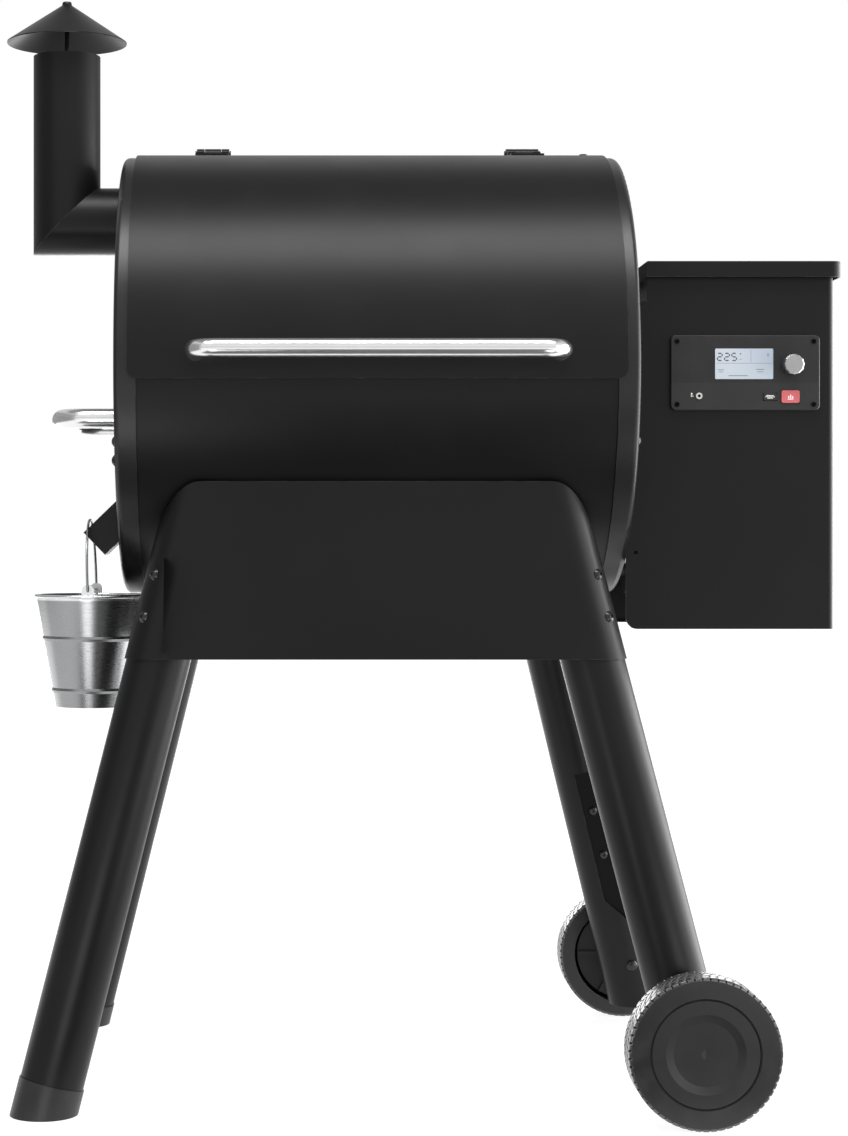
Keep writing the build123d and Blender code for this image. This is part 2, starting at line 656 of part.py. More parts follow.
def panel_outline():
    """Front view of a panel: level top and bottom, and long rounded upper corners."""
    skin = (LEG_R + PANEL_GAP + PANEL_THICK) * math.hypot(1, LEG_LEAN)
    edge = lambda z: LEG_X - LEG_LEAN * z + skin + 1.5
    round_end = 655.0
    right = Bezier((PANEL_TOP_HALF, PANEL_TOP), (edge(PANEL_TOP) - 6, PANEL_TOP),
                   (edge(round_end), round_end))
    left = Bezier((-edge(round_end), round_end), (-edge(PANEL_TOP) + 6, PANEL_TOP),
                  (-PANEL_TOP_HALF, PANEL_TOP))
    low = edge(PANEL_LOW)
    rest = Polyline((edge(round_end), round_end), (low, PANEL_LOW), (-low, PANEL_LOW),
                    (-edge(round_end), round_end))
    top = Line((-PANEL_TOP_HALF, PANEL_TOP), (PANEL_TOP_HALF, PANEL_TOP))
    face = make_face(Curve() + [right, left, rest, top])
    return extrude(Plane.XZ * face, 400, both=True)


def bored_panel(way):
    """Panel with its bolt holes."""
    sheet = panel(way)
    for side in (-1, 1):
        for hole in bolt_holes(side, way):
            sheet -= hole
    return sheet


def frame_bolts():
    """Every M6 button-head bolt: panels, leg stiffeners and end caps."""
    bolts = []
    panel_skin = LEG_R + PANEL_GAP + PANEL_THICK
    for side in (-1, 1):
        for way in (-1, 1):
            bolts += [bolt_seat(side, way, z, panel_skin) * button_bolt(13) for z in PANEL_BOLT_Z]
    for way in (-1, 1):
        bolts += [place * button_bolt(8) for place in strip_screw_places(way)]
    return bolts + [place * button_bolt(8) for place in end_bolt_places()]


# --- Wheels -------------------------------------------------------------------------------------
def wheel_solid(points, way):
    """Solid turned about a wheel's axle, from (radius, distance outwards) points."""
    return turned(points, (WHEEL_X, 0, WHEEL_R), (0, way, 0))


def tyre(way):
    """Tread ring with a small radius at both shoulders."""
    shoulder = 2.5
    wide = WHEEL_OUT - WHEEL_IN
    ring = pipe(WHEEL_R, TYRE_BORE_R, (WHEEL_X, way * WHEEL_IN, WHEEL_R),
                (WHEEL_X, way * (WHEEL_IN + wide), WHEEL_R))
    rims = ring.edges().filter_by(GeomType.CIRCLE).filter_by(lambda edge: edge.radius > WHEEL_R - 1)
    return fillet(rims, shoulder)


def hub(way):
    """Moulded wheel centre: boss, ribbed web and drum, joined to the tyre by a flange at the outer side."""
    web_low, web_high, flange, face = 322.0, 326.0, 346.0, 353.6
    boss_r, drum_in, drum_out = 15.0, 57.0, 61.5
    profile = [(AXLE_R + FIT, WHEEL_IN + 0.3), (boss_r, WHEEL_IN + 0.3), (boss_r, web_low), (drum_out, web_low),
               (drum_out, flange), (TYRE_BORE_R, flange), (TYRE_BORE_R, face), (drum_out - 0.2, face),
               (drum_out - 0.2, 350), (drum_in, 350), (drum_in, web_high), (boss_r, web_high), (boss_r, 338),
               (AXLE_R + FIT, 338)]
    body = wheel_solid(profile, way)
    near, far = sorted((way * (web_low - 4.5), way * (web_low + 1)))
    for turn in range(0, 360, 60):
        rib = block(boss_r - 1, drum_out - 0.5, near, far, -2.5, 2.5)
        body += Pos(WHEEL_X, 0, WHEEL_R) * Rot(0, turn, 0) * rib
    return body


def hub_cap(way):
    """Pressed-in cover: a disc with a dished middle and a snap ring behind it."""
    profile = [(0, 348), (51.5, 348), (51.5, 343), (54, 343), (56.5, 345), (56.5, 350.2), (60.8, 350.2),
               (60.8, 352.9), (60.3, 353.4), (45, 353.6), (42.4, 352.8), (36, 350.7), (0, 350.4)]
    return wheel_solid(profile, way)


def axle(way):
    """Bolt through the leg, with a low round head on the inner side and the nut under the hub cap."""
    inner = LEG_Y - LEG_SPLAY * WHEEL_R - LEG_R - 1.5
    shaft = wheel_solid([(0, inner), (AXLE_R, inner), (AXLE_R, 347), (0, 347)], way)
    head = [(0, inner - 4.2), (3, inner - 4), (6.2, inner - 2.4), (7.2, inner - 1), (7.2, inner), (0, inner)]
    return shaft + wheel_solid(head, way)


def axle_nut(way):
    """Lock nut and washer on the outer end of an axle."""
    washer = wheel_solid([(AXLE_R, 338.4), (12, 338.4), (12, 340), (AXLE_R, 340)], way)
    seat = Plane(origin=(WHEEL_X, way * 340, WHEEL_R), z_dir=(0, way, 0))
    nut = extrude(seat * RegularPolygon(10.5, 6), 7) - extrude(seat * Circle(AXLE_R), 7)
    return washer + nut


def axle_spacer(way):
    """Sleeve between leg and wheel, coped to the leg."""
    sleeve = wheel_solid([(AXLE_R, 285), (11, 285), (11, WHEEL_IN - 0.3), (AXLE_R, WHEEL_IN - 0.3)], way)
    return sleeve - leg_core(LEG_R + 0.02, 1, way, WHEEL_LEG_END, 160)


# --- Hopper -------------------------------------------------------------------------------------
def hopper_cabinet():
    """Bent sheet round the hopper: front, right side and rear, open towards the barrel and below."""
    inner_round = HOPPER_ROUND - SHEET
    corner = 14.0
    flange = 15.0

    def slab(inset, z_low, z_high):
        right = HOPPER_RIGHT - inset
        front, rear = HOPPER_FRONT + inset, HOPPER_REAR - inset
        body = block(HOPPER_LEFT, right, front, rear, z_low, z_high)
        edges = body.edges().filter_by(Axis.Z).filter_by(lambda edge: edge.center().X > right - 1)
        return fillet(edges, HOPPER_ROUND if inset == 0 else inner_round)

    body = slab(0, HOPPER_LOW, HOPPER_TOP)
    body -= Pos(SHEET, 0, 0) * slab(SHEET, HOPPER_LOW + SHEET, HOPPER_TOP + 5) & block(
        HOPPER_LEFT + SHEET, HOPPER_RIGHT - SHEET, HOPPER_FRONT, HOPPER_REAR, HOPPER_LOW, HOPPER_TOP + 5)
    front, rear = HOPPER_FRONT + flange, HOPPER_REAR - flange
    body -= block(HOPPER_LEFT + flange, HOPPER_RIGHT - flange, front, rear, HOPPER_LOW - 1, HOPPER_LOW + 3)
    body -= block(HOPPER_LEFT - 1, HOPPER_LEFT + flange + 1, front, rear, HOPPER_LOW - 1, HOPPER_TOP + 1)
    open_low = AXIS_Z - CAP_R + 47
    body -= block(HOPPER_LEFT - 1, HOPPER_LEFT + SHEET + 0.01, HOPPER_FRONT + SHEET, HOPPER_REAR - SHEET,
                  HOPPER_LOW - 1, open_low)
    body -= block(HOPPER_LEFT - 1, NOTCH_X, HOPPER_FRONT - 1, HOPPER_REAR + 1, NOTCH_Z, HOPPER_TOP + 1)
    sharp = block(HOPPER_LEFT - 1, HOPPER_LEFT + corner, HOPPER_FRONT - 1, HOPPER_REAR + 1,
                  HOPPER_LOW - 1, HOPPER_LOW + corner)
    body -= sharp - along_y(corner, HOPPER_FRONT - 2, HOPPER_REAR + 2, HOPPER_LEFT + corner,
                            HOPPER_LOW + corner)
    return body - cabinet_holes()


def cabinet_holes():
    """Openings in the cabinet: controller, clean-out door, power inlet and a small drain hole."""
    x_low, x_high, z_low, z_high = PLATE
    front, rear = HOPPER_FRONT, HOPPER_REAR
    holes = block(x_low + 12, x_high - 12, front - 1, front + 3, z_low + 8, z_high - 8)
    holes += block(*DOOR_HOLE_X, rear - 3, rear + 1, *DOOR_HOLE_Z)
    holes += block(INLET_X - 14, INLET_X + 14, rear - 3, rear + 1, INLET_Z - 12, INLET_Z + 12)
    holes += along_y(2.5, front - 1, front + 3, *DRAIN_HOLE)
    for x, z in plate_corners():
        holes += along_y(2.2, front - 1, front + 3, x, z)
    return holes


def rect_face(x_low, x_high, y_low, y_high, z):
    """Level rectangle."""
    return Pos((x_low + x_high) / 2, (y_low + y_high) / 2, z) * Rectangle(x_high - x_low, y_high - y_low)


def hopper_bin():
    """Pellet bin: a rim on the cabinet, straight walls, and a funnel down to the auger's inlet."""
    wall = 1.5
    mouth = AUGER_Z + TUBE_R - 4
    rim_z = HOPPER_TOP - 3
    rim = block(NOTCH_X + 1, HOPPER_RIGHT - 2 * SHEET, HOPPER_FRONT + 2 * SHEET, HOPPER_REAR - 2 * SHEET,
                rim_z, rim_z + wall)

    def body(inset, low, high):
        wide = (BIN_LEFT + inset, BIN_RIGHT - inset, BIN_FRONT + inset, BIN_REAR - inset)
        neck = (THROAT[0] + inset, THROAT[1] - inset, THROAT[2] + inset, THROAT[3] - inset)
        box = block(*wide, FUNNEL_TOP, high)
        cone = loft([rect_face(*neck, FUNNEL_LOW), rect_face(*wide, FUNNEL_TOP)])
        throat = block(*neck, low, FUNNEL_LOW)
        return box + cone + throat

    shell = rim + body(0, mouth, rim_z + wall) - body(wall, mouth - 5, rim_z + 5)
    shell -= along_x(TUBE_R + 0.02, 300, 520, 0, AUGER_Z)
    return shell - block(DOOR_HOLE_X[0], DOOR_HOLE_X[1], 60, BIN_REAR + 1, *DOOR_HOLE_Z)


def clean_out_chute():
    """Short duct from the bin's rear slope to the clean-out door."""
    duct = block(*DOOR_HOLE_X, 45, HOPPER_REAR - SHEET - 0.1, *DOOR_HOLE_Z)
    x_low, x_high = DOOR_HOLE_X
    z_low, z_high = DOOR_HOLE_Z
    duct -= block(x_low + SHEET, x_high - SHEET, 30, HOPPER_REAR + 1, z_low + SHEET, z_high - SHEET)
    wide = (BIN_LEFT, BIN_RIGHT, BIN_FRONT, BIN_REAR)
    cone = loft([rect_face(*THROAT, FUNNEL_LOW), rect_face(*wide, FUNNEL_TOP)])
    return duct - cone


def clean_out_door():
    """Sliding door on the cabinet's rear, with a folded pull at its upper edge."""
    rear = HOPPER_REAR + GAP
    plate = block(DOOR_HOLE_X[0] - 8, DOOR_HOLE_X[1] + 8, rear, rear + SHEET, DOOR_HOLE_Z[0] - 8,
                  DOOR_HOLE_Z[1] + 10)
    pull = block(DOOR_HOLE_X[0] + 25, DOOR_HOLE_X[1] - 25, rear, rear + 14, DOOR_HOLE_Z[1] + 8,
                 DOOR_HOLE_Z[1] + 10)
    return plate + pull


def door_guides():
    """Folded guides at both sides of the clean-out door, screwed to the cabinet."""
    rear = HOPPER_REAR
    guides = []
    for side, edge in ((-1, DOOR_HOLE_X[0] - 8), (1, DOOR_HOLE_X[1] + 8)):
        foot_low, foot_high = sorted((edge + side * 0.5, edge + side * 12))
        lip_low, lip_high = sorted((edge - side * 5, edge + side * 12))
        z_low, z_high = DOOR_HOLE_Z[0] - 10, DOOR_HOLE_Z[1] + 75
        guide = block(foot_low, foot_high, rear, rear + 2.6, z_low, z_high)
        guides.append(guide + block(lip_low, lip_high, rear + 2.6, rear + 4, z_low, z_high))
    return guides


def hopper_guard():
    """Welded finger guard a little below the bin's mouth."""
    z, wire = 962.0, 2.5
    gap = 1.0
    x_low, x_high = BIN_LEFT + SHEET + gap + wire, BIN_RIGHT - SHEET - gap - wire
    y_low, y_high = BIN_FRONT + SHEET + gap + wire, BIN_REAR - SHEET - gap - wire
    guard = rod(wire, (x_low, y_low + wire, z), (x_high, y_low + wire, z))
    guard += rod(wire, (x_low, y_high - wire, z), (x_high, y_high - wire, z))
    count = 7
    weld = 0.8
    for step in range(count + 1):
        x = x_low + wire + (x_high - x_low - 2 * wire) * step / count
        guard += rod(wire, (x, y_low, z - 2 * wire + weld), (x, y_high, z - 2 * wire + weld))
    return guard


def hopper_lid():
    """Folded lid with a skirt at the front and both sides."""
    corner = 12.0
    body = block(HLID_LEFT, HLID_RIGHT, HLID_FRONT, HLID_REAR, HLID_LOW, HLID_TOP)
    right = body.edges().filter_by(Axis.Z).filter_by(lambda edge: edge.center().X > HLID_RIGHT - 1)
    body = fillet(right.filter_by(lambda edge: edge.center().Y < 0), corner)
    top = body.faces().sort_by(Axis.Z)[-1]
    body = fillet(top.edges(), 1.2)
    hollow = block(HLID_LEFT + SHEET, HLID_RIGHT - SHEET, HLID_FRONT + SHEET, HLID_REAR + 1,
                   HLID_LOW - 1, HLID_TOP - SHEET)
    right = hollow.edges().filter_by(Axis.Z).filter_by(lambda edge: edge.center().X > HLID_RIGHT - 3)
    hollow = fillet(right.filter_by(lambda edge: edge.center().Y < 0), corner - SHEET)
    sides = block(HLID_LEFT - 1, HLID_RIGHT + 1, HOPPER_REAR - 2, HLID_REAR + 1, HLID_LOW - 1, HLID_TOP - SHEET)
    return body - hollow - sides


def hopper_hinge_fixed(x):
    """Cabinet's half of a hopper hinge, with the pin."""
    y, z, rear = HLID_PIN_Y, HLID_PIN_Z, HOPPER_REAR
    leaf = block(x - 20, x + 20, rear, rear + SHEET, z - 30, z + 3)
    bridge = block(x - 9, x + 9, rear, y - 2.5, z - 3, z + 3)
    knuckle = along_x(HLID_KNUCKLE_R, x - 9, x + 9, y, z)
    return leaf + bridge + knuckle + along_x(HLID_PIN_R, x - 21, x + 21, y, z)


def hopper_hinge_moving(x):
    """Lid's half of a hopper hinge."""
    y, z = HLID_PIN_Y, HLID_PIN_Z
    under = HLID_TOP - SHEET
    leaf = block(x - 20, x + 20, y - 24, y + 3, under - 1.2, under)
    for way in (-1, 1):
        low, high = sorted((x + way * 9.6, x + way * 20))
        leaf += along_x(HLID_KNUCKLE_R, low, high, y, z) + block(low, high, y - 2, y + 2, z, under)
    return leaf - along_x(HLID_PIN_R + FIT, x - 30, x + 30, y, z)


# --- Controller ---------------------------------------------------------------------------------
def plate_corners():
    """Centres of the controller's four screws."""
    x_low, x_high, z_low, z_high = PLATE
    inset = 7.5
    return [(x, z) for x in (x_low + inset, x_high - inset) for z in (z_low + inset - 0.6, z_high - inset)]


def controller_plate():
    """Moulded controller: a face plate with a bevelled edge, and its housing behind the cabinet."""
    x_low, x_high, z_low, z_high = PLATE
    seat = HOPPER_FRONT
    face = round_block(x_low, x_high, z_low, z_high, PLATE_FRONT, seat, 6)
    face = chamfer(face.faces().sort_by(Axis.Y)[0].edges(), 1.0)
    housing = block(x_low + 13, x_high - 13, seat, seat + 46, z_low + 9, z_high - 9)
    body = face + housing
    body -= block(x_low + 16, x_high - 16, seat + 4, seat + 43, z_low + 12, z_high - 12)
    body -= round_block(*SCREEN, PLATE_FRONT - 1, PLATE_FRONT + 2.5, 1.5)
    body -= block(IGNITE[0] - 0.4, IGNITE[1] + 0.4, PLATE_FRONT - 1, seat + 5, IGNITE[2] - 0.4, IGNITE[3] + 0.4)
    body -= block(MENU[0] - 0.4, MENU[1] + 0.4, PLATE_FRONT - 1, seat + 5, MENU[2] - 0.4, MENU[3] + 0.4)
    body -= along_y(3 + FIT, PLATE_FRONT - 1, seat + 5, *KNOB)
    body -= along_y(3.2, PLATE_FRONT - 1, seat + 5, *JACK)
    for x, z in plate_corners():
        body -= along_y(2.2, PLATE_FRONT - 1, seat + 1, x, z)
    return body


def controller_screw(x, z):
    """Black pan-head screw at a corner of the controller."""
    head = along_y(2.9, PLATE_FRONT - 1.6, PLATE_FRONT, x, z)
    head -= along_y(1.3, PLATE_FRONT - 2, PLATE_FRONT - 0.6, x, z)
    return head + along_y(2.15, PLATE_FRONT - 0.2, HOPPER_FRONT + 6, x, z)


def controller_screen():
    """Window of the display, set into the plate."""
    x_low, x_high, z_low, z_high = SCREEN
    slack = 0.2
    return round_block(x_low + slack, x_high - slack, z_low + slack, z_high - slack,
                       PLATE_FRONT - 0.3, PLATE_FRONT + 2.4, 1.4)


def knob():
    """Twelve-sided turned knob on its shaft."""
    back = PLATE_FRONT - 0.8
    x, z = KNOB
    seat = Plane(origin=(x, back, z), z_dir=(0, -1, 0))
    grip = extrude(seat * RegularPolygon(KNOB_R, 12), KNOB_TALL)
    grip = chamfer(grip.faces().sort_by(Axis.Y)[0].edges(), 1.2)
    return grip + along_y(3, back - 1, HOPPER_FRONT + 8, x, z)


def push_button(outline, proud, stem_end):
    """Push button: a rounded cap in the plate's window, with a foot that keeps it in."""
    x_low, x_high, z_low, z_high = outline
    cap = round_block(x_low, x_high, z_low, z_high, PLATE_FRONT - proud, stem_end, 2)
    return fillet(cap.faces().sort_by(Axis.Y)[0].edges(), 0.35)


def probe_jack():
    """Socket for the meat probe, with its bright ring on the plate."""
    x, z = JACK
    ring = along_y(3.9, PLATE_FRONT - 1.2, PLATE_FRONT, x, z)
    return ring + along_y(3.2, PLATE_FRONT - 0.2, HOPPER_FRONT + 8, x, z) - along_y(
        JACK_BORE_R, PLATE_FRONT - 2, HOPPER_FRONT + 6, x, z)


def power_inlet():
    """Mains inlet in the cabinet's rear, with three flat pins."""
    rear = HOPPER_REAR
    body = block(INLET_X - 13.5, INLET_X + 13.5, rear - 18, rear, INLET_Z - 11.5, INLET_Z + 11.5)
    body += block(INLET_X - 17, INLET_X + 17, rear, rear + 2, INLET_Z - 15, INLET_Z + 15)
    body -= block(INLET_X - 11.5, INLET_X + 11.5, rear - 15, rear + 3, INLET_Z - 8, INLET_Z + 8)
    for dx, dz in ((-7, -2), (0, 3), (7, -2)):
        body += block(INLET_X + dx - 1, INLET_X + dx + 1, rear - 16, rear - 1, INLET_Z + dz - 2, INLET_Z + dz + 2)
    return body


# --- Fire and feed ------------------------------------------------------------------------------
def auger_tube():
    """Feed tube from under the bin to the fire pot, open at the top under the bin's throat."""
    start = POT_X + POT_R + 1
    tube = along_x(TUBE_R, start, FEED_END, 0, AUGER_Z) - along_x(TUBE_BORE_R, start - 1, FEED_END + 1, 0, AUGER_Z)
    return tube - block(402, 468, -20, 20, AUGER_Z, AUGER_Z + 40)


def auger():
    """Feed screw: a shaft with tilted flights, one to each turn."""
    start = POT_X + POT_R + 6
    pitch, thick, lean, shaft_r = 30.0, 2.5, 12.0, 8.0
    shaft = along_x(shaft_r, start, FEED_END + 8, 0, AUGER_Z)
    count = int((FEED_END - start - 20) / pitch)
    for turn in range(count + 1):
        place = Pos(start + 12 + turn * pitch, 0, AUGER_Z) * Rot(0, 90 + lean, 0)
        shaft += place * Cylinder(AUGER_R, thick)
    return shaft


def auger_motor():
    """Gear motor on the end of the feed tube."""
    gearbox = block(FEED_END + 1, FEED_END + 26, -32, 32, AUGER_Z - 42, AUGER_Z + 32)
    motor = along_x(21, FEED_END + 26, FEED_END + 50, 0, AUGER_Z - 12)
    socket = along_x(8 + FIT, FEED_END, FEED_END + 9, 0, AUGER_Z)
    return gearbox + motor - socket


def fan_housing():
    """Snail-shaped blower casing with a short duct into the barrel."""
    x_low, x_high = FAN_X
    wall = 2.0
    duct_r, duct_bore = 17.8, 15.8
    drum = along_x(FAN_CASE_R, x_low, x_high, FAN_Y, FAN_Z)
    drum -= along_x(FAN_CASE_R - wall, x_low + wall, x_high - wall, FAN_Y, FAN_Z)
    drum -= along_x(22, x_high - wall - 1, x_high + 1, FAN_Y, FAN_Z)
    duct = along_x(duct_r, CAP_X - SHEET, x_low + 0.5, FAN_Y, FAN_Z)
    duct -= along_x(duct_bore, CAP_X - 5, x_low + wall + 1, FAN_Y, FAN_Z)
    drum -= along_x(duct_bore, x_low - 1, x_low + wall + 1, FAN_Y, FAN_Z)
    bearing = block(x_high - wall, x_high, FAN_Y - 30, FAN_Y + 30, FAN_Z - 4, FAN_Z + 4)
    motor = along_x(14, x_high - wall, x_high + 22, FAN_Y, FAN_Z)
    axle_bore = along_x(3 + FIT, x_low, x_high + 12, FAN_Y, FAN_Z)
    return drum + duct + bearing + motor - axle_bore


def fan_impeller():
    """Squirrel-cage rotor on its motor shaft."""
    x_low, x_high = FAN_X
    rim = FAN_ROTOR_R
    disc = along_x(rim, x_high - 8, x_high - 6, FAN_Y, FAN_Z)
    ring = along_x(rim, x_low + 6, x_low + 8, FAN_Y, FAN_Z)
    ring -= along_x(rim - 7, x_low + 5, x_low + 9, FAN_Y, FAN_Z)
    shaft = along_x(3, x_high - 10, x_high + 10, FAN_Y, FAN_Z)
    rotor = disc + ring + shaft
    for turn in range(0, 360, 24):
        blade = block(x_low + 7, x_high - 7, rim - 6, rim - 0.5, -0.8, 0.8)
        rotor += Pos(0, FAN_Y, FAN_Z) * Rot(turn, 0, 0) * blade
    return rotor


def fire_pot():
    """Cast pot on the barrel's floor: a feed hole, a floor and two rows of air holes."""
    top, wall, floor_z = 706.0, 3.0, 616.0
    axis_low, axis_high = (POT_X, 0, 590), (POT_X, 0, top)
    pot = pipe(POT_R, POT_R - wall, axis_low, axis_high)
    pot += rod(POT_R, (POT_X, 0, floor_z), (POT_X, 0, floor_z + wall))
    pot -= along_x(TUBE_BORE_R, POT_X, POT_X + POT_R + 5, 0, AUGER_Z)
    pot -= along_x(4.4, POT_X, POT_X + POT_R + 5, 0, IGNITER_Z)
    for step in range(8):
        turn = math.radians(22.5 + 45 * step)
        for z in (634.0, 694.0):
            reach = (POT_X + 60 * math.cos(turn), 60 * math.sin(turn), z)
            pot -= rod(4, (POT_X, 0, z), reach)
    return pot & along_x(SHELL_R - SHEET - 0.05, -CAP_X, CAP_X)


def igniter_rod():
    """Hot rod that lights the pellets, with its fixing collar."""
    rod_end = POT_X + POT_R + 70
    return along_x(4, POT_X + 30, rod_end, 0, IGNITER_Z) + along_x(6, POT_X + POT_R + 50, rod_end, 0, IGNITER_Z)


def heat_baffle():
    """Folded plate over the fire pot, on four legs that stand on the barrel's floor."""
    x_low, x_high, half, top = -120.0, 150.0, 112.0, 736.0
    plate = block(x_low, x_high, -half, half, top - 2, top)
    for side in (-1, 1):
        low, high = sorted((side * half, side * (half - 2)))
        plate += block(x_low, x_high, low, high, top - 22, top)
        for x in (x_low, x_high - 22):
            plate += block(x, x + 22, low, high, 600, top)
    return plate & along_x(SHELL_R - SHEET - 0.05, -CAP_X, CAP_X)


def drip_tray():
    """Sloping tray with side walls that hang from the lower rails."""
    right_z, left_z, rail_z, half = 776.0, 752.0, RAIL_LOW_Z + 2.1, 228.0
    x_low, x_high = -276.0, 276.0
    floor = Polyline((x_low, left_z), (x_high, right_z), (x_high, right_z + 1.5), (x_low, left_z + 1.5), close=True)
    tray = extrude(Plane.XZ * make_face(floor), half, both=True)
    walls = Polyline((x_low, left_z), (x_high, right_z), (x_high, rail_z), (x_low, rail_z), close=True)
    for side in (-1, 1):
        y_low, y_high = sorted((side * (half - 1.5), side * half))
        wall = extrude(Plane.XZ * make_face(walls), 400, both=True) & block(-400, 400, y_low, y_high, 700, 900)
        y_low, y_high = sorted((side * (half - 1.5), side * (half + 13)))
        tray += wall + block(x_low, x_high, y_low, y_high, rail_z, rail_z + 1.5)
    return tray + block(x_high - 1.5, x_high, -half, half, right_z, rail_z + 1.5)


def shelf_rail(side, z):
    """Ledge along the barrel's inside, welded to the shell."""
    y_low, y_high = sorted((side * 236, side * 268))
    bar = block(-CAP_X + 6, CAP_X - 6, y_low, y_high, z, z + 2)
    return bar & along_x(SHELL_R - SHEET - 0.02, -CAP_X, CAP_X)


def grate_half(side):
    """One of the two enamelled cooking grates: a welded frame of rods with cross bars."""
    near, far = side * 1.5, side * 277.0
    frame_r, bar_r, half, z = 4.0, 3.0, 244.0, GRATE_Z
    grate = rod(frame_r, (near + side * frame_r, -half, z), (near + side * frame_r, half, z))
    grate += rod(frame_r, (far - side * frame_r, -half, z), (far - side * frame_r, half, z))
    for y in (-half, 0.0, half):
        grate += rod(frame_r, (near, y, z), (far, y, z))
    count = 16
    for step in range(1, count):
        x = near + (far - near) * step / count
        grate += rod(bar_r, (x, -half, z + 1), (x, half, z + 1))
    return grate


def upper_rack():
    """Warming rack behind the cooking area, on four legs that stand on the grate."""
    x_far, y_low, y_high, z = 262.0, 96.0, 232.0, RACK_Z
    frame_r, bar_r = 3.5, 2.2
    rack = rod(frame_r, (-x_far, y_low, z), (x_far, y_low, z)) + rod(frame_r, (-x_far, y_high, z), (x_far, y_high, z))
    count = 24
    for step in range(count + 1):
        x = -x_far + 2 * x_far * step / count
        thick = frame_r if step in (0, count) else bar_r
        rack += rod(thick, (x, y_low, z), (x, y_high, z))
    for x in (-x_far + 30, x_far - 30):
        for y in (y_low, y_high):
            rack += rod(frame_r, (x, y, GRATE_Z + 4.3), (x, y, z))
    return rack


def temperature_probe():
    """Probe that reads the barrel's temperature, through the right end cap."""
    return along_x(3, CAP_X - 62, CAP_X + 14, *PROBE) + along_x(6, CAP_X, CAP_X + 6, *PROBE)


# --- Write every node ---------------------------------------------------------------------------
def main():
    """Make the parts folder and write one file per node."""
    os.makedirs("parts", exist_ok=True)
    write("barrel_shell", barrel_shell())
    write("end_cap_left", end_cap_left())
    write("end_cap_right", end_cap_right())
    write("barrel_hinge_leaves", *both_sides(barrel_hinge), *both_sides(hinge_pin))
    write("lid", lid())
    write("lid_handle", lid_handle())
    write("lid_handle_bolts", *both_sides(handle_bolt), lid_screw())
    write("lid_hinge_leaves", *both_sides(lid_hinge))
    write("tow_handle", tow_handle())
    write("chimney_pipe", chimney_pipe())
    write("chimney_elbow", chimney_elbow())
    write("chimney_rod", chimney_rod())
    write("chimney_cap", chimney_cap(), *chimney_nuts())
    write("grease_spout", grease_spout(), grease_trough())
    write("bucket", bucket())
    write("bail", bail())
    write("front_panel", bored_panel(-1))
    write("rear_panel", bored_panel(1))
    write("frame_bolts", *frame_bolts(), tow_bolt(-TOW_Y), tow_bolt(TOW_Y))
    write("leg_saddles", *[saddle(side, way) for side in (-1, 1) for way in (-1, 1)])
    write("foot_caps", foot_cap(-1), foot_cap(1))
    write("wheel_leg_strips", leg_strip(-1), leg_strip(1))
    write("axles", axle(-1), axle_nut(-1), axle_spacer(-1), axle(1), axle_nut(1), axle_spacer(1))
    for way, end in ((-1, "front"), (1, "rear")):
        write(f"leg_{end}_left", leg(-1, way))
        write(f"leg_{end}_right", leg(1, way))
        write(f"tyre_{end}", tyre(way))
        write(f"hub_{end}", hub(way))
        write(f"hub_cap_{end}", hub_cap(way))
    write("hopper_cabinet", hopper_cabinet())
    write("hopper_bin", hopper_bin() + clean_out_chute())
    write("hopper_guard", hopper_guard())
    write("hopper_fittings", *[hopper_hinge_fixed(x) for x in HLID_HINGES], *door_guides())
    write("hopper_lid", hopper_lid(), *[hopper_hinge_moving(x) for x in HLID_HINGES])
    write("clean_out_door", clean_out_door())
    write("controller_plate", controller_plate())
    write("controller_screws", *[controller_screw(x, z) for x, z in plate_corners()])
    write("controller_screen", controller_screen())
    write("knob", knob())
    write("ignite_button", push_button(IGNITE, 1.6, HOPPER_FRONT + 1))
    write("menu_button", push_button(MENU, 0.9, HOPPER_FRONT + 1))
    write("probe_jack", probe_jack())
    write("power_inlet", power_inlet())
    write("auger_tube", auger_tube())
    write("auger", auger())
    write("auger_motor", auger_motor())
    write("fan_housing", fan_housing())
    write("fan_impeller", fan_impeller())
    write("fire_pot", fire_pot())
    write("igniter_rod", igniter_rod())
    write("heat_baffle", heat_baffle())
    write("drip_tray", drip_tray())
    rails = [shelf_rail(side, z) for side in (-1, 1) for z in (RAIL_LOW_Z, RAIL_HIGH_Z)]
    write("shelf_rails", *rails)
    write("main_grate", grate_half(-1), grate_half(1))
    write("upper_rack", upper_rack())
    write("temperature_probe", temperature_probe())


main()
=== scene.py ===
import json
import math

import bmesh
import bpy
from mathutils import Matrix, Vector


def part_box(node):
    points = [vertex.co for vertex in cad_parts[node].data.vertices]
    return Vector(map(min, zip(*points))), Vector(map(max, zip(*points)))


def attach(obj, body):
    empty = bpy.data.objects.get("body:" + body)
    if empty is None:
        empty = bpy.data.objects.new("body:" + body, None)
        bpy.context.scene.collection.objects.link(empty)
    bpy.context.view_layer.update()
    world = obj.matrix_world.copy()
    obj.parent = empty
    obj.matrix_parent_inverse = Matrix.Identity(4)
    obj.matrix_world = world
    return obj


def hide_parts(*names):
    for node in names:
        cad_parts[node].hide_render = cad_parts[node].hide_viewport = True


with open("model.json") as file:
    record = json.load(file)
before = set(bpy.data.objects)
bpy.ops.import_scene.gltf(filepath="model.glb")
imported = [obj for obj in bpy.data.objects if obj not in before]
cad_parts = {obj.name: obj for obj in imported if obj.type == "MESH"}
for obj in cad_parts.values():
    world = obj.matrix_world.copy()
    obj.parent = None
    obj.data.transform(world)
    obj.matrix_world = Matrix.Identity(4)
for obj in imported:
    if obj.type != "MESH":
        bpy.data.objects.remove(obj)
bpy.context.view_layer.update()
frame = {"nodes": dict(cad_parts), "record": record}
NODES = frame["nodes"]
MM = 0.001
MICRON = 0.000001

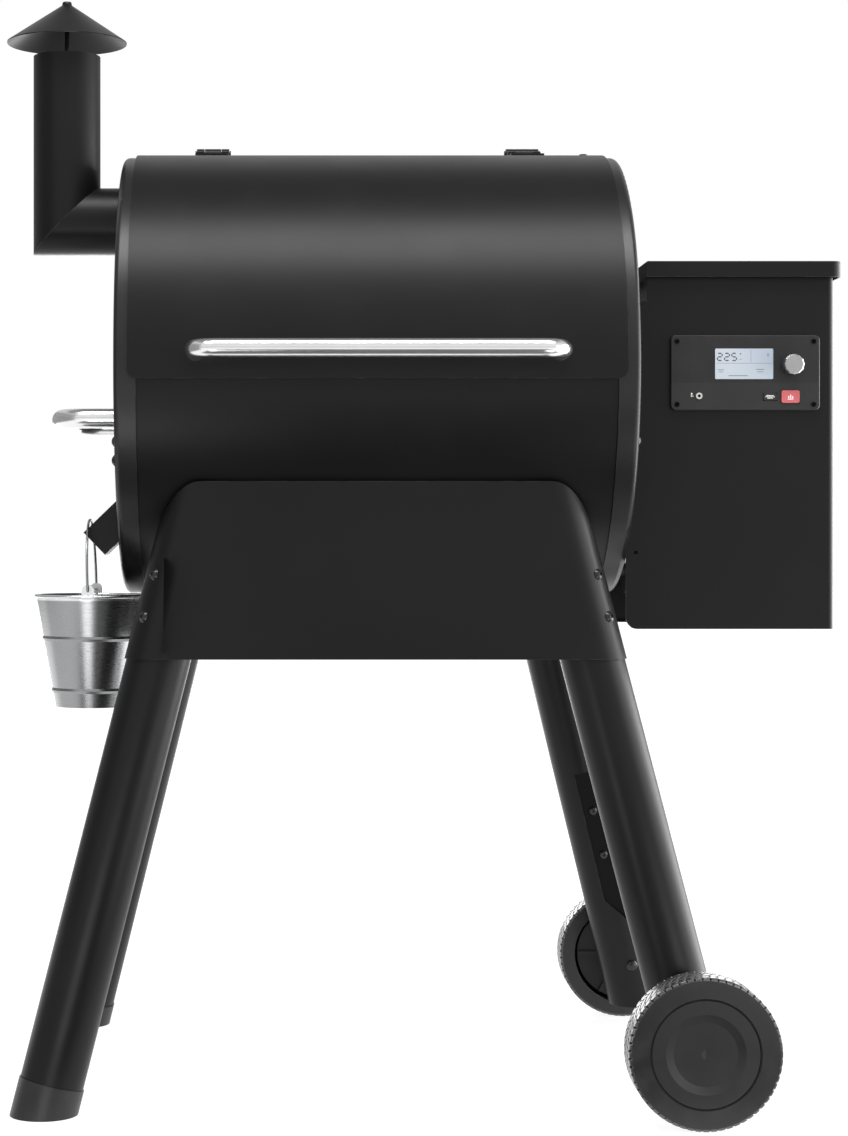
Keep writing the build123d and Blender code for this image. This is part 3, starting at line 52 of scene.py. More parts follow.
PLATE_LOW, PLATE_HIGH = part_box("controller_plate")
DIVIDE = PLATE_HIGH[2] - 0.64 * (PLATE_HIGH[2] - PLATE_LOW[2])  # height where the controller's two tones meet
DRAIN_X, DRAIN_Z = 0.2645, 0.6456  # small hole near the foot of the hopper's front
HUB_GAP_SHADE = (61.2 * MM, 66.3 * MM)   # radii of the ring between the wheel's disc and its tyre that is painted near black: painted shade in the deep gap


def middle(node):
    """Centre and size of a node's box."""
    low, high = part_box(node)
    return (Vector(low) + Vector(high)) / 2, Vector(high) - Vector(low)


# ---------------------------------------------------------------- materials

class Graph:
    """A node tree. Each method adds nodes and returns a socket."""

    def __init__(self, tree):
        self.tree = tree

    def node(self, kind, inputs=None, **settings):
        made = self.tree.nodes.new(kind)
        for key, value in settings.items():
            setattr(made, key, value)
        for key, value in (inputs or {}).items():
            self.feed(made.inputs[key], value)
        return made

    def feed(self, socket, value):
        if isinstance(value, bpy.types.NodeSocket):
            self.tree.links.new(value, socket)
        elif isinstance(value, (tuple, list)) and len(value) == 3 and socket.type == "RGBA":
            socket.default_value = (*value, 1.0)
        else:
            socket.default_value = value

    def span(self, value, low, high, out_low=0.0, out_high=1.0):
        """value between low and high, mapped smoothly to out_low and out_high."""
        inputs = {"Value": value, "From Min": low, "From Max": high, "To Min": out_low, "To Max": out_high}
        return self.node("ShaderNodeMapRange", inputs, interpolation_type="SMOOTHSTEP").outputs["Result"]

    def maths(self, operation, a, b):
        return self.node("ShaderNodeMath", {0: a, 1: b}, operation=operation).outputs[0]


class Look(Graph):
    """A node material in object coordinates (metres)."""

    def __init__(self, name, metal=0.0, **sockets):
        self.material = bpy.data.materials.new(name)
        self.material.use_nodes = True
        super().__init__(self.material.node_tree)
        self.shader = self.tree.nodes["Principled BSDF"]
        self.shader.inputs["Metallic"].default_value = metal
        for socket, value in sockets.items():
            self.shader.inputs[socket.replace("_", " ")].default_value = value
        self.place = self.node("ShaderNodeTexCoord").outputs["Object"]

    def at(self, stretch=(1, 1, 1), shift=(0, 0, 0)):
        inputs = {"Vector": self.place, "Scale": stretch, "Location": shift}
        return self.node("ShaderNodeMapping", inputs).outputs[0]

    def axis(self, which):
        return self.node("ShaderNodeSeparateXYZ", {0: self.place}).outputs[which]

    def noise(self, scale, detail=3.0, stretch=(1, 1, 1), shift=(0, 0, 0)):
        inputs = {"Vector": self.at(stretch, shift), "Scale": scale, "Detail": detail, "Roughness": 0.5}
        return self.node("ShaderNodeTexNoise", inputs).outputs["Fac"]

    def vary(self, noise, out_low=0.0, out_high=1.0):
        """A noise, with the range where most of its values lie mapped to out_low and out_high."""
        return self.span(noise, 0.3, 0.7, out_low, out_high)

    def patches(self, noise):
        """Like vary from 0 to 1, but more of the surface stays at 0."""
        return self.span(noise, 0.35, 0.7)

    def blend(self, amount, a, b):
        made = self.node("ShaderNodeMix", data_type="RGBA")
        self.feed(made.inputs["Factor"], amount)
        colours = [socket for socket in made.inputs if socket.type == "RGBA"]
        self.feed(colours[0], a)
        self.feed(colours[1], b)
        return next(socket for socket in made.outputs if socket.type == "RGBA")

    def worn(self, tone, bare, amount, radius):
        """tone, turning to bare by amount on sharp edges, within radius of them."""
        soft = self.node("ShaderNodeBevel", {"Radius": radius}, samples=4).outputs[0]
        plain = self.node("ShaderNodeNewGeometry").outputs["Normal"]
        dot = self.node("ShaderNodeVectorMath", {0: soft, 1: plain}, operation="DOT_PRODUCT").outputs["Value"]
        return self.blend(self.maths("MULTIPLY", self.span(dot, 0.995, 0.80), amount), tone, bare)

    def colour(self, value):
        self.feed(self.shader.inputs["Base Color"], value)

    def gloss(self, value):
        self.feed(self.shader.inputs["Roughness"], value)

    def bumps(self, *layers):
        """Each layer is (height socket, depth in metres). Returns the finished material."""
        normal = None
        for height, depth in layers:
            inputs = {"Height": height, "Distance": depth, "Strength": 1.0}
            if normal is not None:
                inputs["Normal"] = normal
            normal = self.node("ShaderNodeBump", inputs).outputs[0]
        self.feed(self.shader.inputs["Normal"], normal)
        return self.material


def shade(colour, factor, lift=0.0):
    return [c * factor + lift for c in colour]


def painted(name, base, rough, peel=20 * MICRON, bare=(0.10, 0.10, 0.105), shine=0.23):
    """Powder coat: fine orange peel, faint smudges, thin wear on the edges."""
    look = Look(name, Specular_IOR_Level=shine)
    cloud = look.noise(5.0, detail=4.0)
    grain = look.noise(900.0, detail=2.0)
    smudge = look.noise(14.0, detail=5.0, shift=(3, 1, 2))
    tone = look.blend(look.vary(cloud), shade(base, 0.88), shade(base, 1.14))
    dust = look.maths("MULTIPLY", look.span(smudge, 0.55, 0.8), 0.25)
    tone = look.blend(dust, tone, shade(base, 1.6, 0.001))
    wear = look.span(look.noise(60.0, detail=4.0), 0.42, 0.62, 0.1, 0.7)
    look.colour(look.worn(tone, bare, wear, 0.9 * MM))
    dull = look.span(smudge, 0.3, 0.75, rough - 0.01, rough + 0.02)
    look.gloss(look.maths("ADD", dull, look.vary(grain, -0.02, 0.02)))
    return look.bumps((grain, peel), (look.noise(260.0, detail=2.0), peel * 1.6))


def steel(name, base, rough, stretch, smear_tone=0.9, line=6 * MICRON, streak=1.0):
    """Bright or brushed metal: fine lines along one way, faint smears.

    line is the depth of the lines, streak how much lines and smears change the roughness."""
    look = Look(name, metal=1.0)
    lines = look.noise(1.0, stretch=stretch)
    smear = look.noise(18.0, detail=4.0)
    look.colour(look.blend(look.patches(smear), shade(base, smear_tone), base))
    dull = look.vary(smear, rough * (1 - 0.15 * streak), rough * (1 + 0.2 * streak))
    look.gloss(look.maths("ADD", dull, look.vary(lines, -0.03 * streak, 0.05 * streak)))
    return look.bumps((lines, line))


def bucket_metal(name, base, painted_rim_highlight, rough):
    """Brushed zinc-coated sheet; the rolled top edge and the ears are coloured much lighter, a painted highlight for
    the light they reflect.
    """
    look = Look(name, metal=1.0)
    _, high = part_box("bucket")
    lines = look.noise(1.0, stretch=(60, 60, 1500))
    smear = look.noise(18.0, detail=4.0)
    body = look.blend(look.patches(smear), shade(base, 0.95), base)
    # Painted highlight: above this height, on the rolled top edge and the ears, the colour turns much lighter.
    look.colour(look.blend(look.span(look.axis("Z"), high[2] - 20 * MM, high[2] - 18 * MM), body, painted_rim_highlight))
    dull = look.vary(smear, rough * 0.96, rough * 1.05)
    look.gloss(look.maths("ADD", dull, look.vary(lines, -0.015, 0.02)))
    return look.bumps((lines, 0.4 * MICRON))


def moulded_gloss(look, rub, grain, rough):
    """Moulded plastic's roughness: smoother where hands rub it, and grainy all over."""
    look.gloss(look.maths("ADD", look.vary(rub, rough - 0.04, rough + 0.06), look.vary(grain, -0.03, 0.03)))


def plastic(name, base, rough, spark=20 * MICRON):
    """Moulded plastic: spark-eroded grain, handling marks, lightened edges."""
    look = Look(name, Specular_IOR_Level=0.45)
    grain = look.noise(1500.0, detail=2.0)
    rub = look.noise(30.0, detail=4.0)
    tone = look.blend(look.patches(rub), base, shade(base, 1.35, 0.002))
    look.colour(look.worn(tone, shade(base, 2.2, 0.01), 0.35, 0.6 * MM))
    moulded_gloss(look, rub, grain, rough)
    return look.bumps((grain, spark))


def moulded_plate(name, upper, lower, divide, rough):
    """The controller's face: two tones of the same plastic that meet at the height divide."""
    look = Look(name, Specular_IOR_Level=0.40)
    grain = look.noise(1500.0, detail=2.0)
    rub = look.noise(30.0, detail=4.0)
    tone = look.blend(look.span(look.axis("Z"), divide - 0.2 * MM, divide + 0.2 * MM), lower, upper)
    tone = look.blend(look.maths("MULTIPLY", look.patches(rub), 0.2), tone, shade(lower, 1.6))
    look.colour(look.worn(tone, shade(upper, 4, 0.02), 0.35, 0.6 * MM))
    moulded_gloss(look, rub, grain, rough)
    return look.bumps((grain, 20 * MICRON))


def wheel_plastic(name, base, rough, gap):
    """Hub plastic; the ring-shaped gap between the two radii in gap is painted near black and dull: painted shade in
    the deep gap.
    """
    look = Look(name, Specular_IOR_Level=0.45)
    centre, _ = middle("hub_front")
    flat = look.at((1, 0, 1), (-centre.x, 0, -centre.z))
    radius = look.node("ShaderNodeVectorMath", {0: flat}, operation="LENGTH").outputs["Value"]
    soft = 0.4 * MM
    inside = look.maths("MULTIPLY", look.span(radius, gap[0], gap[0] + soft),
                        look.span(radius, gap[1], gap[1] - soft))
    grain = look.noise(1500.0, detail=2.0)
    rub = look.noise(30.0, detail=4.0)
    tone = look.blend(look.patches(rub), base, shade(base, 1.35))
    tone = look.worn(tone, shade(base, 2.2, 0.008), 0.35, 0.6 * MM)
    # painted shade: near black within the ring between the two radii, where the deep gap lies in shadow
    look.colour(look.blend(inside, tone, (0.0008, 0.0008, 0.0008)))
    look.gloss(look.maths("ADD", look.vary(rub, rough - 0.04, rough + 0.06), look.maths("MULTIPLY", inside, 0.5)))
    return look.bumps((grain, 20 * MICRON))


def lit_window(name):
    """Display glass: its pale cool colour is a painted glow of the lit display, a little darker to the right and at
    the foot.
    """
    look = Look(name, Specular_IOR_Level=0.4)
    low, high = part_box("controller_screen")
    across = look.span(look.axis("X"), low[0], high[0])
    up = look.span(look.axis("Z"), low[2], high[2])
    # Painted glow of the lit display: pale cool tones in the base colour.
    tone = look.blend(across, (0.50, 0.53, 0.58), (0.37, 0.42, 0.50))
    look.colour(look.blend(up, look.blend(0.5, tone, (0.45, 0.52, 0.56)), tone))
    look.gloss(look.vary(look.noise(60.0), 0.10, 0.16))
    return look.bumps((look.noise(1400.0, detail=2.0), 1 * MICRON))


def tread_rubber(name):
    """Moulded tread: shinier than the sidewall. Its colour is several times lighter than the sidewall's rubber, a
    painted highlight, and paler still on the corners of its blocks, partly scuffs and partly painted highlight.
    """
    look = Look(name, Specular_IOR_Level=1.0)
    grain = look.noise(900.0)
    dirt = look.noise(60.0, detail=5.0)
    # Painted highlight: both tread tones are much lighter than the sidewall rubber; the dirt noise mixes them.
    tone = look.blend(look.span(dirt, 0.4, 0.75), (0.030, 0.030, 0.0305), (0.065, 0.064, 0.062))
    # Pale block corners: partly scuffs, partly painted highlight.
    look.colour(look.worn(tone, (0.30, 0.296, 0.29), 0.5, 0.8 * MM))
    look.gloss(look.span(dirt, 0.3, 0.75, 0.15, 0.26))
    return look.bumps((grain, 20 * MICRON))


def rubber(name):
    """Dull sidewall rubber with a little dirt."""
    look = Look(name, Specular_IOR_Level=0.5)
    grain = look.noise(1100.0)
    dirt = look.noise(45.0, detail=5.0)
    tone = look.blend(look.span(dirt, 0.45, 0.75), (0.0060, 0.0060, 0.0062), (0.0105, 0.0100, 0.0097))
    look.colour(look.worn(tone, (0.05, 0.048, 0.046), 0.35, 0.8 * MM))
    look.gloss(look.span(dirt, 0.3, 0.75, 0.34, 0.46))
    return look.bumps((grain, 30 * MICRON))


def iron(name):
    """Rough iron with soot."""
    look = Look(name, metal=0.6)
    rough = look.noise(220.0, detail=5.0)
    soot = look.noise(22.0, detail=5.0)
    look.colour(look.blend(look.span(soot, 0.4, 0.65), (0.10, 0.09, 0.085), (0.022, 0.020, 0.019)))
    look.gloss(look.vary(soot, 0.6, 0.85))
    return look.bumps((rough, 200 * MICRON))


def heat_marked(name):
    """Plain steel that has been hot: straw and blue tints, soot."""
    look = Look(name, metal=1.0)
    heat = look.noise(9.0, detail=4.0)
    soot = look.noise(30.0, detail=5.0, shift=(1, 5, 2))
    tone = look.blend(look.span(heat, 0.35, 0.55), (0.46, 0.45, 0.44), (0.42, 0.34, 0.24))
    tone = look.blend(look.span(heat, 0.55, 0.72), tone, (0.22, 0.24, 0.33))
    look.colour(look.blend(look.span(soot, 0.5, 0.75), tone, (0.05, 0.045, 0.04)))
    look.gloss(look.span(soot, 0.35, 0.7, 0.34, 0.62))
    return look.bumps((look.noise(700.0, detail=2.0), 20 * MICRON))


PAINT = painted("powder_black", (0.0036, 0.0036, 0.0038), 0.37)
# Painted light: the end caps carry a lighter copy of the barrel's powder coat, for the light their bands catch.
CAP_LIT_PAINT = painted("cap_black_lit", (0.0055, 0.0055, 0.0058), 0.34, shine=0.42)
# Painted shade: the strips in the legs' slots are coloured darker and duller than the legs' paint, for the shade
# inside the slots.
SLOT_SHADE_BLACK = painted("slot_shade_black", (0.0020, 0.0020, 0.0021), 0.45, shine=0.12)
# Near black, almost without gloss: the screws' own black, darkened further as painted shade of the recesses they sit
# in; also the jack's insulator and the disc of painted shade in the cabinet's hole.
BLACK_WITH_RECESS_SHADE = painted("black_with_recess_shade", (0.0010, 0.0010, 0.0010), 0.40, peel=4 * MICRON, bare=(0.02, 0.02, 0.02), shine=0.06)
ENAMEL = painted("grate_enamel", (0.012, 0.012, 0.0125), 0.22, peel=30 * MICRON)
BOLT = painted("bolt_black", (0.0060, 0.0060, 0.0063), 0.24, peel=4 * MICRON, shine=0.45)
MOTOR = painted("motor_grey", (0.20, 0.20, 0.21), 0.5)
POLISHED = steel("polished_steel", (0.80, 0.80, 0.81), 0.22, (40, 600, 600),
                 smear_tone=0.97, line=0.3 * MICRON, streak=0.15)
PLATED = steel("plated_wire", (0.72, 0.72, 0.73), 0.2, (300, 300, 300))
ZINC = steel("zinc_sheet", (0.60, 0.61, 0.62), 0.36, (200, 200, 900))
HOT = heat_marked("heat_marked_steel")
IRON = iron("pot_iron")
# The second colour is a painted highlight for the bucket's rolled top edge and its ears.
BUCKET = bucket_metal("bucket_steel", (0.31, 0.313, 0.318), (0.74, 0.745, 0.75), 0.27)
BAIL = steel("bail_wire", (0.36, 0.365, 0.37), 0.30, (300, 300, 60))
RUBBER = rubber("tyre_rubber")
FOOT = plastic("foot_plastic", (0.006, 0.006, 0.0065), 0.40)
WHEEL = wheel_plastic("wheel_plastic", (0.0062, 0.0062, 0.0065), 0.46, HUB_GAP_SHADE)
TREAD = tread_rubber("tyre_tread")
BEZEL = moulded_plate("controller_plastic", (0.0085, 0.0085, 0.0092), (0.0135, 0.0135, 0.0145), DIVIDE, 0.42)
SCREEN = lit_window("screen_window")
RED = plastic("ignite_red", (0.42, 0.088, 0.096), 0.35, spark=10 * MICRON)
KNOB = steel("knob_metal", (0.50, 0.50, 0.505), 0.30, (900, 30, 900))
INK = plastic("display_ink", (0.035, 0.050, 0.080), 0.4, spark=1 * MICRON)
PALE = plastic("pale_print", (0.66, 0.64, 0.62), 0.45, spark=2 * MICRON)
GROOVE = plastic("dark_groove", (0.008, 0.008, 0.009), 0.5, spark=2 * MICRON)
JACK = steel("jack_metal", (0.85, 0.84, 0.80), 0.18, (400, 400, 400))

BY_SLOT = {
    "black_paint": PAINT, "polished_steel": POLISHED, "bucket_steel": BUCKET, "black_bolt": BOLT,
    "foot_plastic": FOOT, "wheel_plastic": WHEEL, "tyre_rubber": RUBBER, "controller_plastic": BEZEL,
    "screen": SCREEN, "knob_metal": KNOB, "ignite_red": RED, "menu_plastic": BEZEL, "jack_metal": JACK,
    "zinc_steel": ZINC, "inner_steel": HOT, "pot_iron": IRON, "grate_enamel": ENAMEL, "rack_steel": PLATED,
    "motor_grey": MOTOR, "fan_plastic": FOOT,
}
BY_NODE = {
    "end_cap_left": CAP_LIT_PAINT, "end_cap_right": CAP_LIT_PAINT, "controller_screws": BLACK_WITH_RECESS_SHADE, "chimney_rod": BOLT,
    "wheel_leg_strips": SLOT_SHADE_BLACK, "bail": BAIL,
}
for part in frame["record"]["subparts"]:
    mesh = NODES[part["node"]].data
    mesh.materials.clear()
    mesh.materials.append(BY_NODE.get(part["node"]) or BY_SLOT[part["material_slot"]])


# ---------------------------------------------------------------- pieces

def piece(name, bm, materials, body):
    """Turns a bmesh in row-frame metres into an object that rides on a body."""
    bmesh.ops.recalc_face_normals(bm, faces=bm.faces)
    mesh = bpy.data.meshes.new(name)
    bm.to_mesh(mesh)
    bm.free()
    for material in materials:
        mesh.materials.append(material)
    made = bpy.data.objects.new(name, mesh)
    bpy.context.scene.collection.objects.link(made)
    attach(made, body)
    return made


def bridge(bm, rings):
    """Joins each ring of vertices to the next one."""
    count = len(rings[0])
    for lower, upper in zip(rings, rings[1:]):
        for i in range(count):
            bm.faces.new((lower[i], lower[(i + 1) % count], upper[(i + 1) % count], upper[i]))


def solid(bm, rings):
    """Joins rings of vertices and closes both ends."""
    bridge(bm, rings)
    bm.faces.new(rings[0])
    bm.faces.new(list(reversed(rings[-1])))


TREAD_DEEP = 3.0 * MM
LUGS, BLOCKS = 60, 60              # round the tyre, on its shoulders and between them
LUG_GAP, BLOCK_GAP = 0.26, 0.19    # share of each pitch that is cut away
LUG_SLANT, BLOCK_SLANT = 0.03, 0.07  # pitches per millimetre across
SHOULDER_AT = 17.2                 # millimetres from the tyre's middle, where the lugs begin
ZIGZAG_AT, ZIGZAG_SWING, ZIGZAG_HALF = 7.6, 1.6, 0.9  # millimetres: mean place, swing and half width of its groove

# Profile of the tyre, (radius, distance from its middle) in millimetres
CROWN_R = 86.3
BEAD = [(66.1, 16.5), (62.5, 16.7), (62.4, 21.6), (62.9, 22.4)]
FLANK = [(66.1, 19.0), (66.2, 21.8)]
WALL = [(66.9, 22.4), (75.0, 22.5), (83.0, 22.5)]
SHOULDER = [(84.3, 22.4), (85.3, 22.0), (85.9, 21.3), (86.2, 20.5), (CROWN_R, 19.6), (CROWN_R, 18.4), (CROWN_R, 17.3)]
SHOULDER_CUT = (0.45, 0.8, 1.0, 1.0, 1.0, 1.0, 1.0)   # share of the tread's depth
CROWN = [17.0, 16.0, 15.0, 14.0, 13.0, 12.0, 11.0, 10.2, 9.4, 8.6, 7.8, 7.0, 6.2, 5.4, 4.4, 3.0, 1.5]


def tread_groove(turn, y):
    """How deep the tread is cut, 0 or 1, at an angle round the tyre and a distance from its middle."""
    across = abs(y) / MM
    block = turn * BLOCKS / (2 * math.pi)
    zigzag = ZIGZAG_AT + ZIGZAG_SWING * (abs((block % 1.0) - 0.5) * 4 - 1)
    if across > SHOULDER_AT:
        cut = (turn * LUGS / (2 * math.pi) + across * LUG_SLANT) % 1.0 < LUG_GAP
    elif abs(across - zigzag) < ZIGZAG_HALF:
        cut = True
    elif across < zigzag:
        cut = (block + y / MM * BLOCK_SLANT) % 1.0 < BLOCK_GAP
    else:
        cut = (block + 0.5 - across * BLOCK_SLANT) % 1.0 < BLOCK_GAP
    return 1.0 if cut else 0.0


def tyre(node, body, outer):
    """Rubber tyre: flat sidewalls, square shoulders with lugs and zig-zag blocks between them.

    outer is -1 or 1: the side whose bead comes in close to the hub."""
    centre, size = middle(node)
    clear = 0.03 * MM
    out_r, half = size.z / 2 - clear, size.y / 2 - clear
    tread = [(r, y, cut) for (r, y), cut in zip(SHOULDER, SHOULDER_CUT)] + [(CROWN_R, y, 1.0) for y in CROWN]
    near = [(r, y, 0.0) for r, y in BEAD + WALL] + tread
    far = [(r, y, 0.0) for r, y in FLANK + WALL] + tread
    profile = [(r, y * outer, cut) for r, y, cut in near] + [(CROWN_R, 0.0, 1.0)]
    profile += [(r, -y * outer, cut) for r, y, cut in reversed(far)]
    scale = out_r / (CROWN_R * MM)
    steps = LUGS * 16
    bm = bmesh.new()
    rings = []
    for r, y, cut in profile:
        y = max(-half, min(half, y * MM))
        ring = []
        for step in range(steps):
            turn = 2 * math.pi * step / steps
            reach = r * MM * scale - TREAD_DEEP * cut * tread_groove(turn, y)
            ring.append(bm.verts.new((centre.x + reach * math.cos(turn), centre.y + y,
                                      centre.z + reach * math.sin(turn))))
        rings.append(ring)
    bridge(bm, rings + rings[:1])
    for face in bm.faces:
        where = face.calc_center_median() - centre
        if math.hypot(where.x, where.z) > 82.5 * MM and abs(where.y) < 22.45 * MM:
            face.material_index = 1
    made = piece(f"{node}_tread", bm, [RUBBER, TREAD], body)
    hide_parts(node)


def feed_screw():
    """Shaft with one continuous helical flight, its edge rounded."""
    centre, size = middle("auger")
    shaft_r, pitch, thick = 8 * MM, 30 * MM, 2.5 * MM
    out_r = min(size.y, size.z) / 2 - 0.1 * MM
    low, high = centre.x - size.x / 2, centre.x + size.x / 2
    bm = bmesh.new()

    def around(x, radius, turn):
        return bm.verts.new((x, centre.y + radius * math.cos(turn), centre.z + radius * math.sin(turn)))

    sides, chamfer, end_r = 32, 1.2 * MM, shaft_r * 0.86
    cuts = [(low, end_r), (low + chamfer, shaft_r), (high - chamfer, shaft_r), (high, end_r)]
    solid(bm, [[around(x, radius, 2 * math.pi * i / sides) for i in range(sides)] for x, radius in cuts])
    start, end = low + 6 * MM, high - 26 * MM
    turns = (end - start) / pitch
    steps = int(turns * 40)
    root_r, edge_r = shaft_r - 0.4 * MM, out_r - 0.6 * MM
    section = [(root_r, -thick / 2), (edge_r, -thick / 2), (out_r, 0), (edge_r, thick / 2), (root_r, thick / 2)]
    solid(bm, [[around(start + (end - start) * step / steps + dx, radius, 2 * math.pi * turns * step / steps)
                for radius, dx in section] for step in range(steps + 1)])
    made = piece("auger_screw", bm, [HOT], "auger_body")
    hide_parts("auger")


def rounded_slab(bm, centre, wide, tall, deep, corner, sides):
    """Slab facing -Y with rounded corners and a small bevel on its front edge."""
    x_mid, y_back, z_mid = centre
    bevel = min(deep * 0.6, corner * 0.5, 0.3 * MM)
    rings = []
    for inset, y in ((0.0, y_back), (0.0, y_back - deep + bevel), (bevel, y_back - deep)):
        ring = []
        for quarter in range(4):
            x = x_mid + (wide / 2 - corner) * (1 if quarter in (0, 3) else -1)
            z = z_mid + (tall / 2 - corner) * (1 if quarter in (0, 1) else -1)
            for step in range(sides + 1):
                turn = math.pi / 2 * (quarter + step / sides)
                reach = corner - inset
                ring.append(bm.verts.new((x + reach * math.cos(turn), y, z + reach * math.sin(turn))))
        rings.append(ring)
    solid(bm, rings)


def marks(name, bars, at, back, deep, material, body, sides=3):
    """One piece made of slabs on a face that looks to -Y.

    Each bar is (x, z, wide, tall, corner radius) in millimetres from at, which is (x, z) in metres."""
    bm = bmesh.new()
    for x, z, wide, tall, corner in bars:
        rounded_slab(bm, (at[0] + x * MM, back, at[1] + z * MM), wide * MM, tall * MM, deep, corner * MM, sides)
    piece(name, bm, [material], body)


SINK = 0.02 * MM      # how far the back of a mark lies inside the face that carries it
PRINT = 0.08 * MM     # thickness of a printed mark
SEGMENTS = {"2": "abged", "5": "afgcd"}


def digit(text, x, z):
    """The bars of one seven-segment figure, (x, z, wide, tall), in millimetres."""
    wide, tall = 5.6, 8.6
    bar, half = wide * 0.27, tall / 2
    bars = {"a": (0, half, wide - bar, bar), "g": (0, 0, wide - bar, bar), "d": (0, -half, wide - bar, bar),
            "f": (-wide / 2, half / 2, bar, half - bar), "b": (wide / 2, half / 2, bar, half - bar),
            "e": (-wide / 2, -half / 2, bar, half - bar), "c": (wide / 2, -half / 2, bar, half - bar)}
    return [(x + dx, z + dz, across, down) for dx, dz, across, down in map(bars.get, SEGMENTS[text])]


def display_marks():
    """Generic figures and rules on the lit window: a number, a scale and a bar."""
    centre, size = middle("controller_screen")
    bars = []
    for index, text in enumerate("225"):
        bars += digit(text, 5.6 + 8.6 * index, -10.0)
    bars += [(43.0, -9.0, 0.35, 15.0), (34.8, -17.6, 66.0, 0.35), (30.5, -6.2, 1.6, 1.6), (30.5, -13.0, 2.6, 0.5),
             (63.5, -6.5, 3.4, 0.6), (63.5, -8.1, 2.2, 0.6), (63.5, -9.7, 1.0, 0.6), (27.5, -32.6, 23.0, 0.7),
             (7.0, -25.5, 8.0, 0.6), (7.0, -28.0, 5.0, 0.6), (54.0, -25.0, 10.0, 0.6), (54.0, -28.0, 7.0, 0.6)]
    marks("display_marks", [(*bar, min(bar[2:]) * 0.3) for bar in bars],
          (centre.x - size.x / 2, centre.z + size.z / 2), centre.y - size.y / 2 + SINK, 0.06 * MM,
          INK, "root", sides=2)


def key_marks():
    """Pale generic bars on the two keys."""
    centre, size = middle("ignite_button")
    bars = [(x, tall / 2 - 2.0, 1.3, tall, 0.5) for x, tall in ((-2.4, 2.6), (0.0, 4.4), (2.4, 2.6))]
    bars.append((0.0, -3.0, 7.0, 0.9, 0.4))
    marks("ignite_mark", bars, (centre.x, centre.z), centre.y - size.y / 2 + SINK, PRINT,
          PALE, "ignite_body")
    centre, size = middle("menu_button")
    bars = [(0.0, z, wide, 0.7, 0.3) for z, wide in ((1.5, 9.0), (0.0, 11.5), (-1.5, 7.0))]
    marks("menu_mark", bars, (centre.x, centre.z), centre.y - size.y / 2 + SINK, PRINT,
          PALE, "menu_body")


def plate_marks():
    """On the controller's face: a plain sign beside the probe socket and the line between the two tones."""
    centre, _ = middle("probe_jack")
    bars = [(x, z, wide, tall, min(wide, tall) * 0.35)
            for x, z, wide, tall in ((-9.4, 1.2, 0.6, 5.2), (-8.0, -0.2, 2.6, 0.6), (-8.6, 2.6, 1.6, 1.6))]
    marks("probe_mark", bars, (centre.x, centre.z), PLATE_LOW[1] + SINK, PRINT, PALE, "root")
    wide = (PLATE_HIGH[0] - PLATE_LOW[0]) / MM - 2.4
    marks("controller_divider", [(0.0, 0.0, wide, 0.5, 0.12)], ((PLATE_LOW[0] + PLATE_HIGH[0]) / 2, DIVIDE),
          PLATE_LOW[1] + 0.03 * MM, 0.06 * MM, GROOVE, "root", sides=2)


def dark_disc(name, x, z, front, radius):
    """Dark round disc that closes a small hole, its face at front. The radius is in millimetres."""
    thick = 1.0 * MM
    marks(name, [(0.0, 0.0, 2 * radius, 2 * radius, radius * 0.98)], (x, z), front + thick, thick,
          BLACK_WITH_RECESS_SHADE, "root", sides=8)


def insulator_and_hole_shade():
    """The socket's insulator, and a dark disc in the hole near the foot of the cabinet's front: painted shade, where
    the hole shows only shadow.
    """
    centre, size = middle("probe_jack")
    dark_disc("probe_jack_insulator", centre.x, centre.z, centre.y - size.y / 2 + 0.25 * MM, 1.78)
    low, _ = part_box("hopper_cabinet")
    # Painted shade: a dark disc fills the hole, where only shadow shows.
    dark_disc("cabinet_hole_shade", DRAIN_X, DRAIN_Z, low[1] + 0.5 * MM, 2.45)


tyre("tyre_front", "wheel_front", -1)
tyre("tyre_rear", "wheel_rear", 1)
feed_screw()
display_marks()
key_marks()
plate_marks()
insulator_and_hole_shade()


# ---------------------------------------------------------------- studio

BUCKET_AT = (-0.39, -0.12, 0.55)
EYE = (-0.1668, -3.087, 0.6642)
LENS, SENSOR = 77.7, 36
SHIFT_X, SHIFT_Y = 0.1294, -0.0273

# Soft boxes: name, place, aim, size, watts
LIGHTS = [
    ("top_front", (0.0, -1.15, 3.2), (-0.05, -0.2, 0.95), (3.4, 1.0), 95),          # bands on lid and barrel
    ("right", (1.5, 0.35, 0.75), (0.3, 0.35, 0.75), (1.3, 1.4), 36),                # right edges, rear half
    ("right_front", (1.5, -0.70, 0.75), (0.3, -0.70, 0.75), (0.8, 1.4), 9),         # right edges, front half
    ("front_low", (-0.52, -1.30, 0.17), BUCKET_AT, (0.42, 0.30), 1.9),              # the bucket's bright band
    ("front_right_low", (0.62, -0.98, 0.17), BUCKET_AT, (0.40, 0.30), 1.3),         # the bucket's right side
    ("left_low", (-1.7, 1.1, 0.16), (0.2, 0.0, 0.2), (1.4, 0.30), 0.9),             # left edges of the legs
    ("rear_low", (-0.1, 2.5, 0.40), (0.1, 0.0, 0.35), (2.6, 0.6), 16),              # inner edges of the legs
]

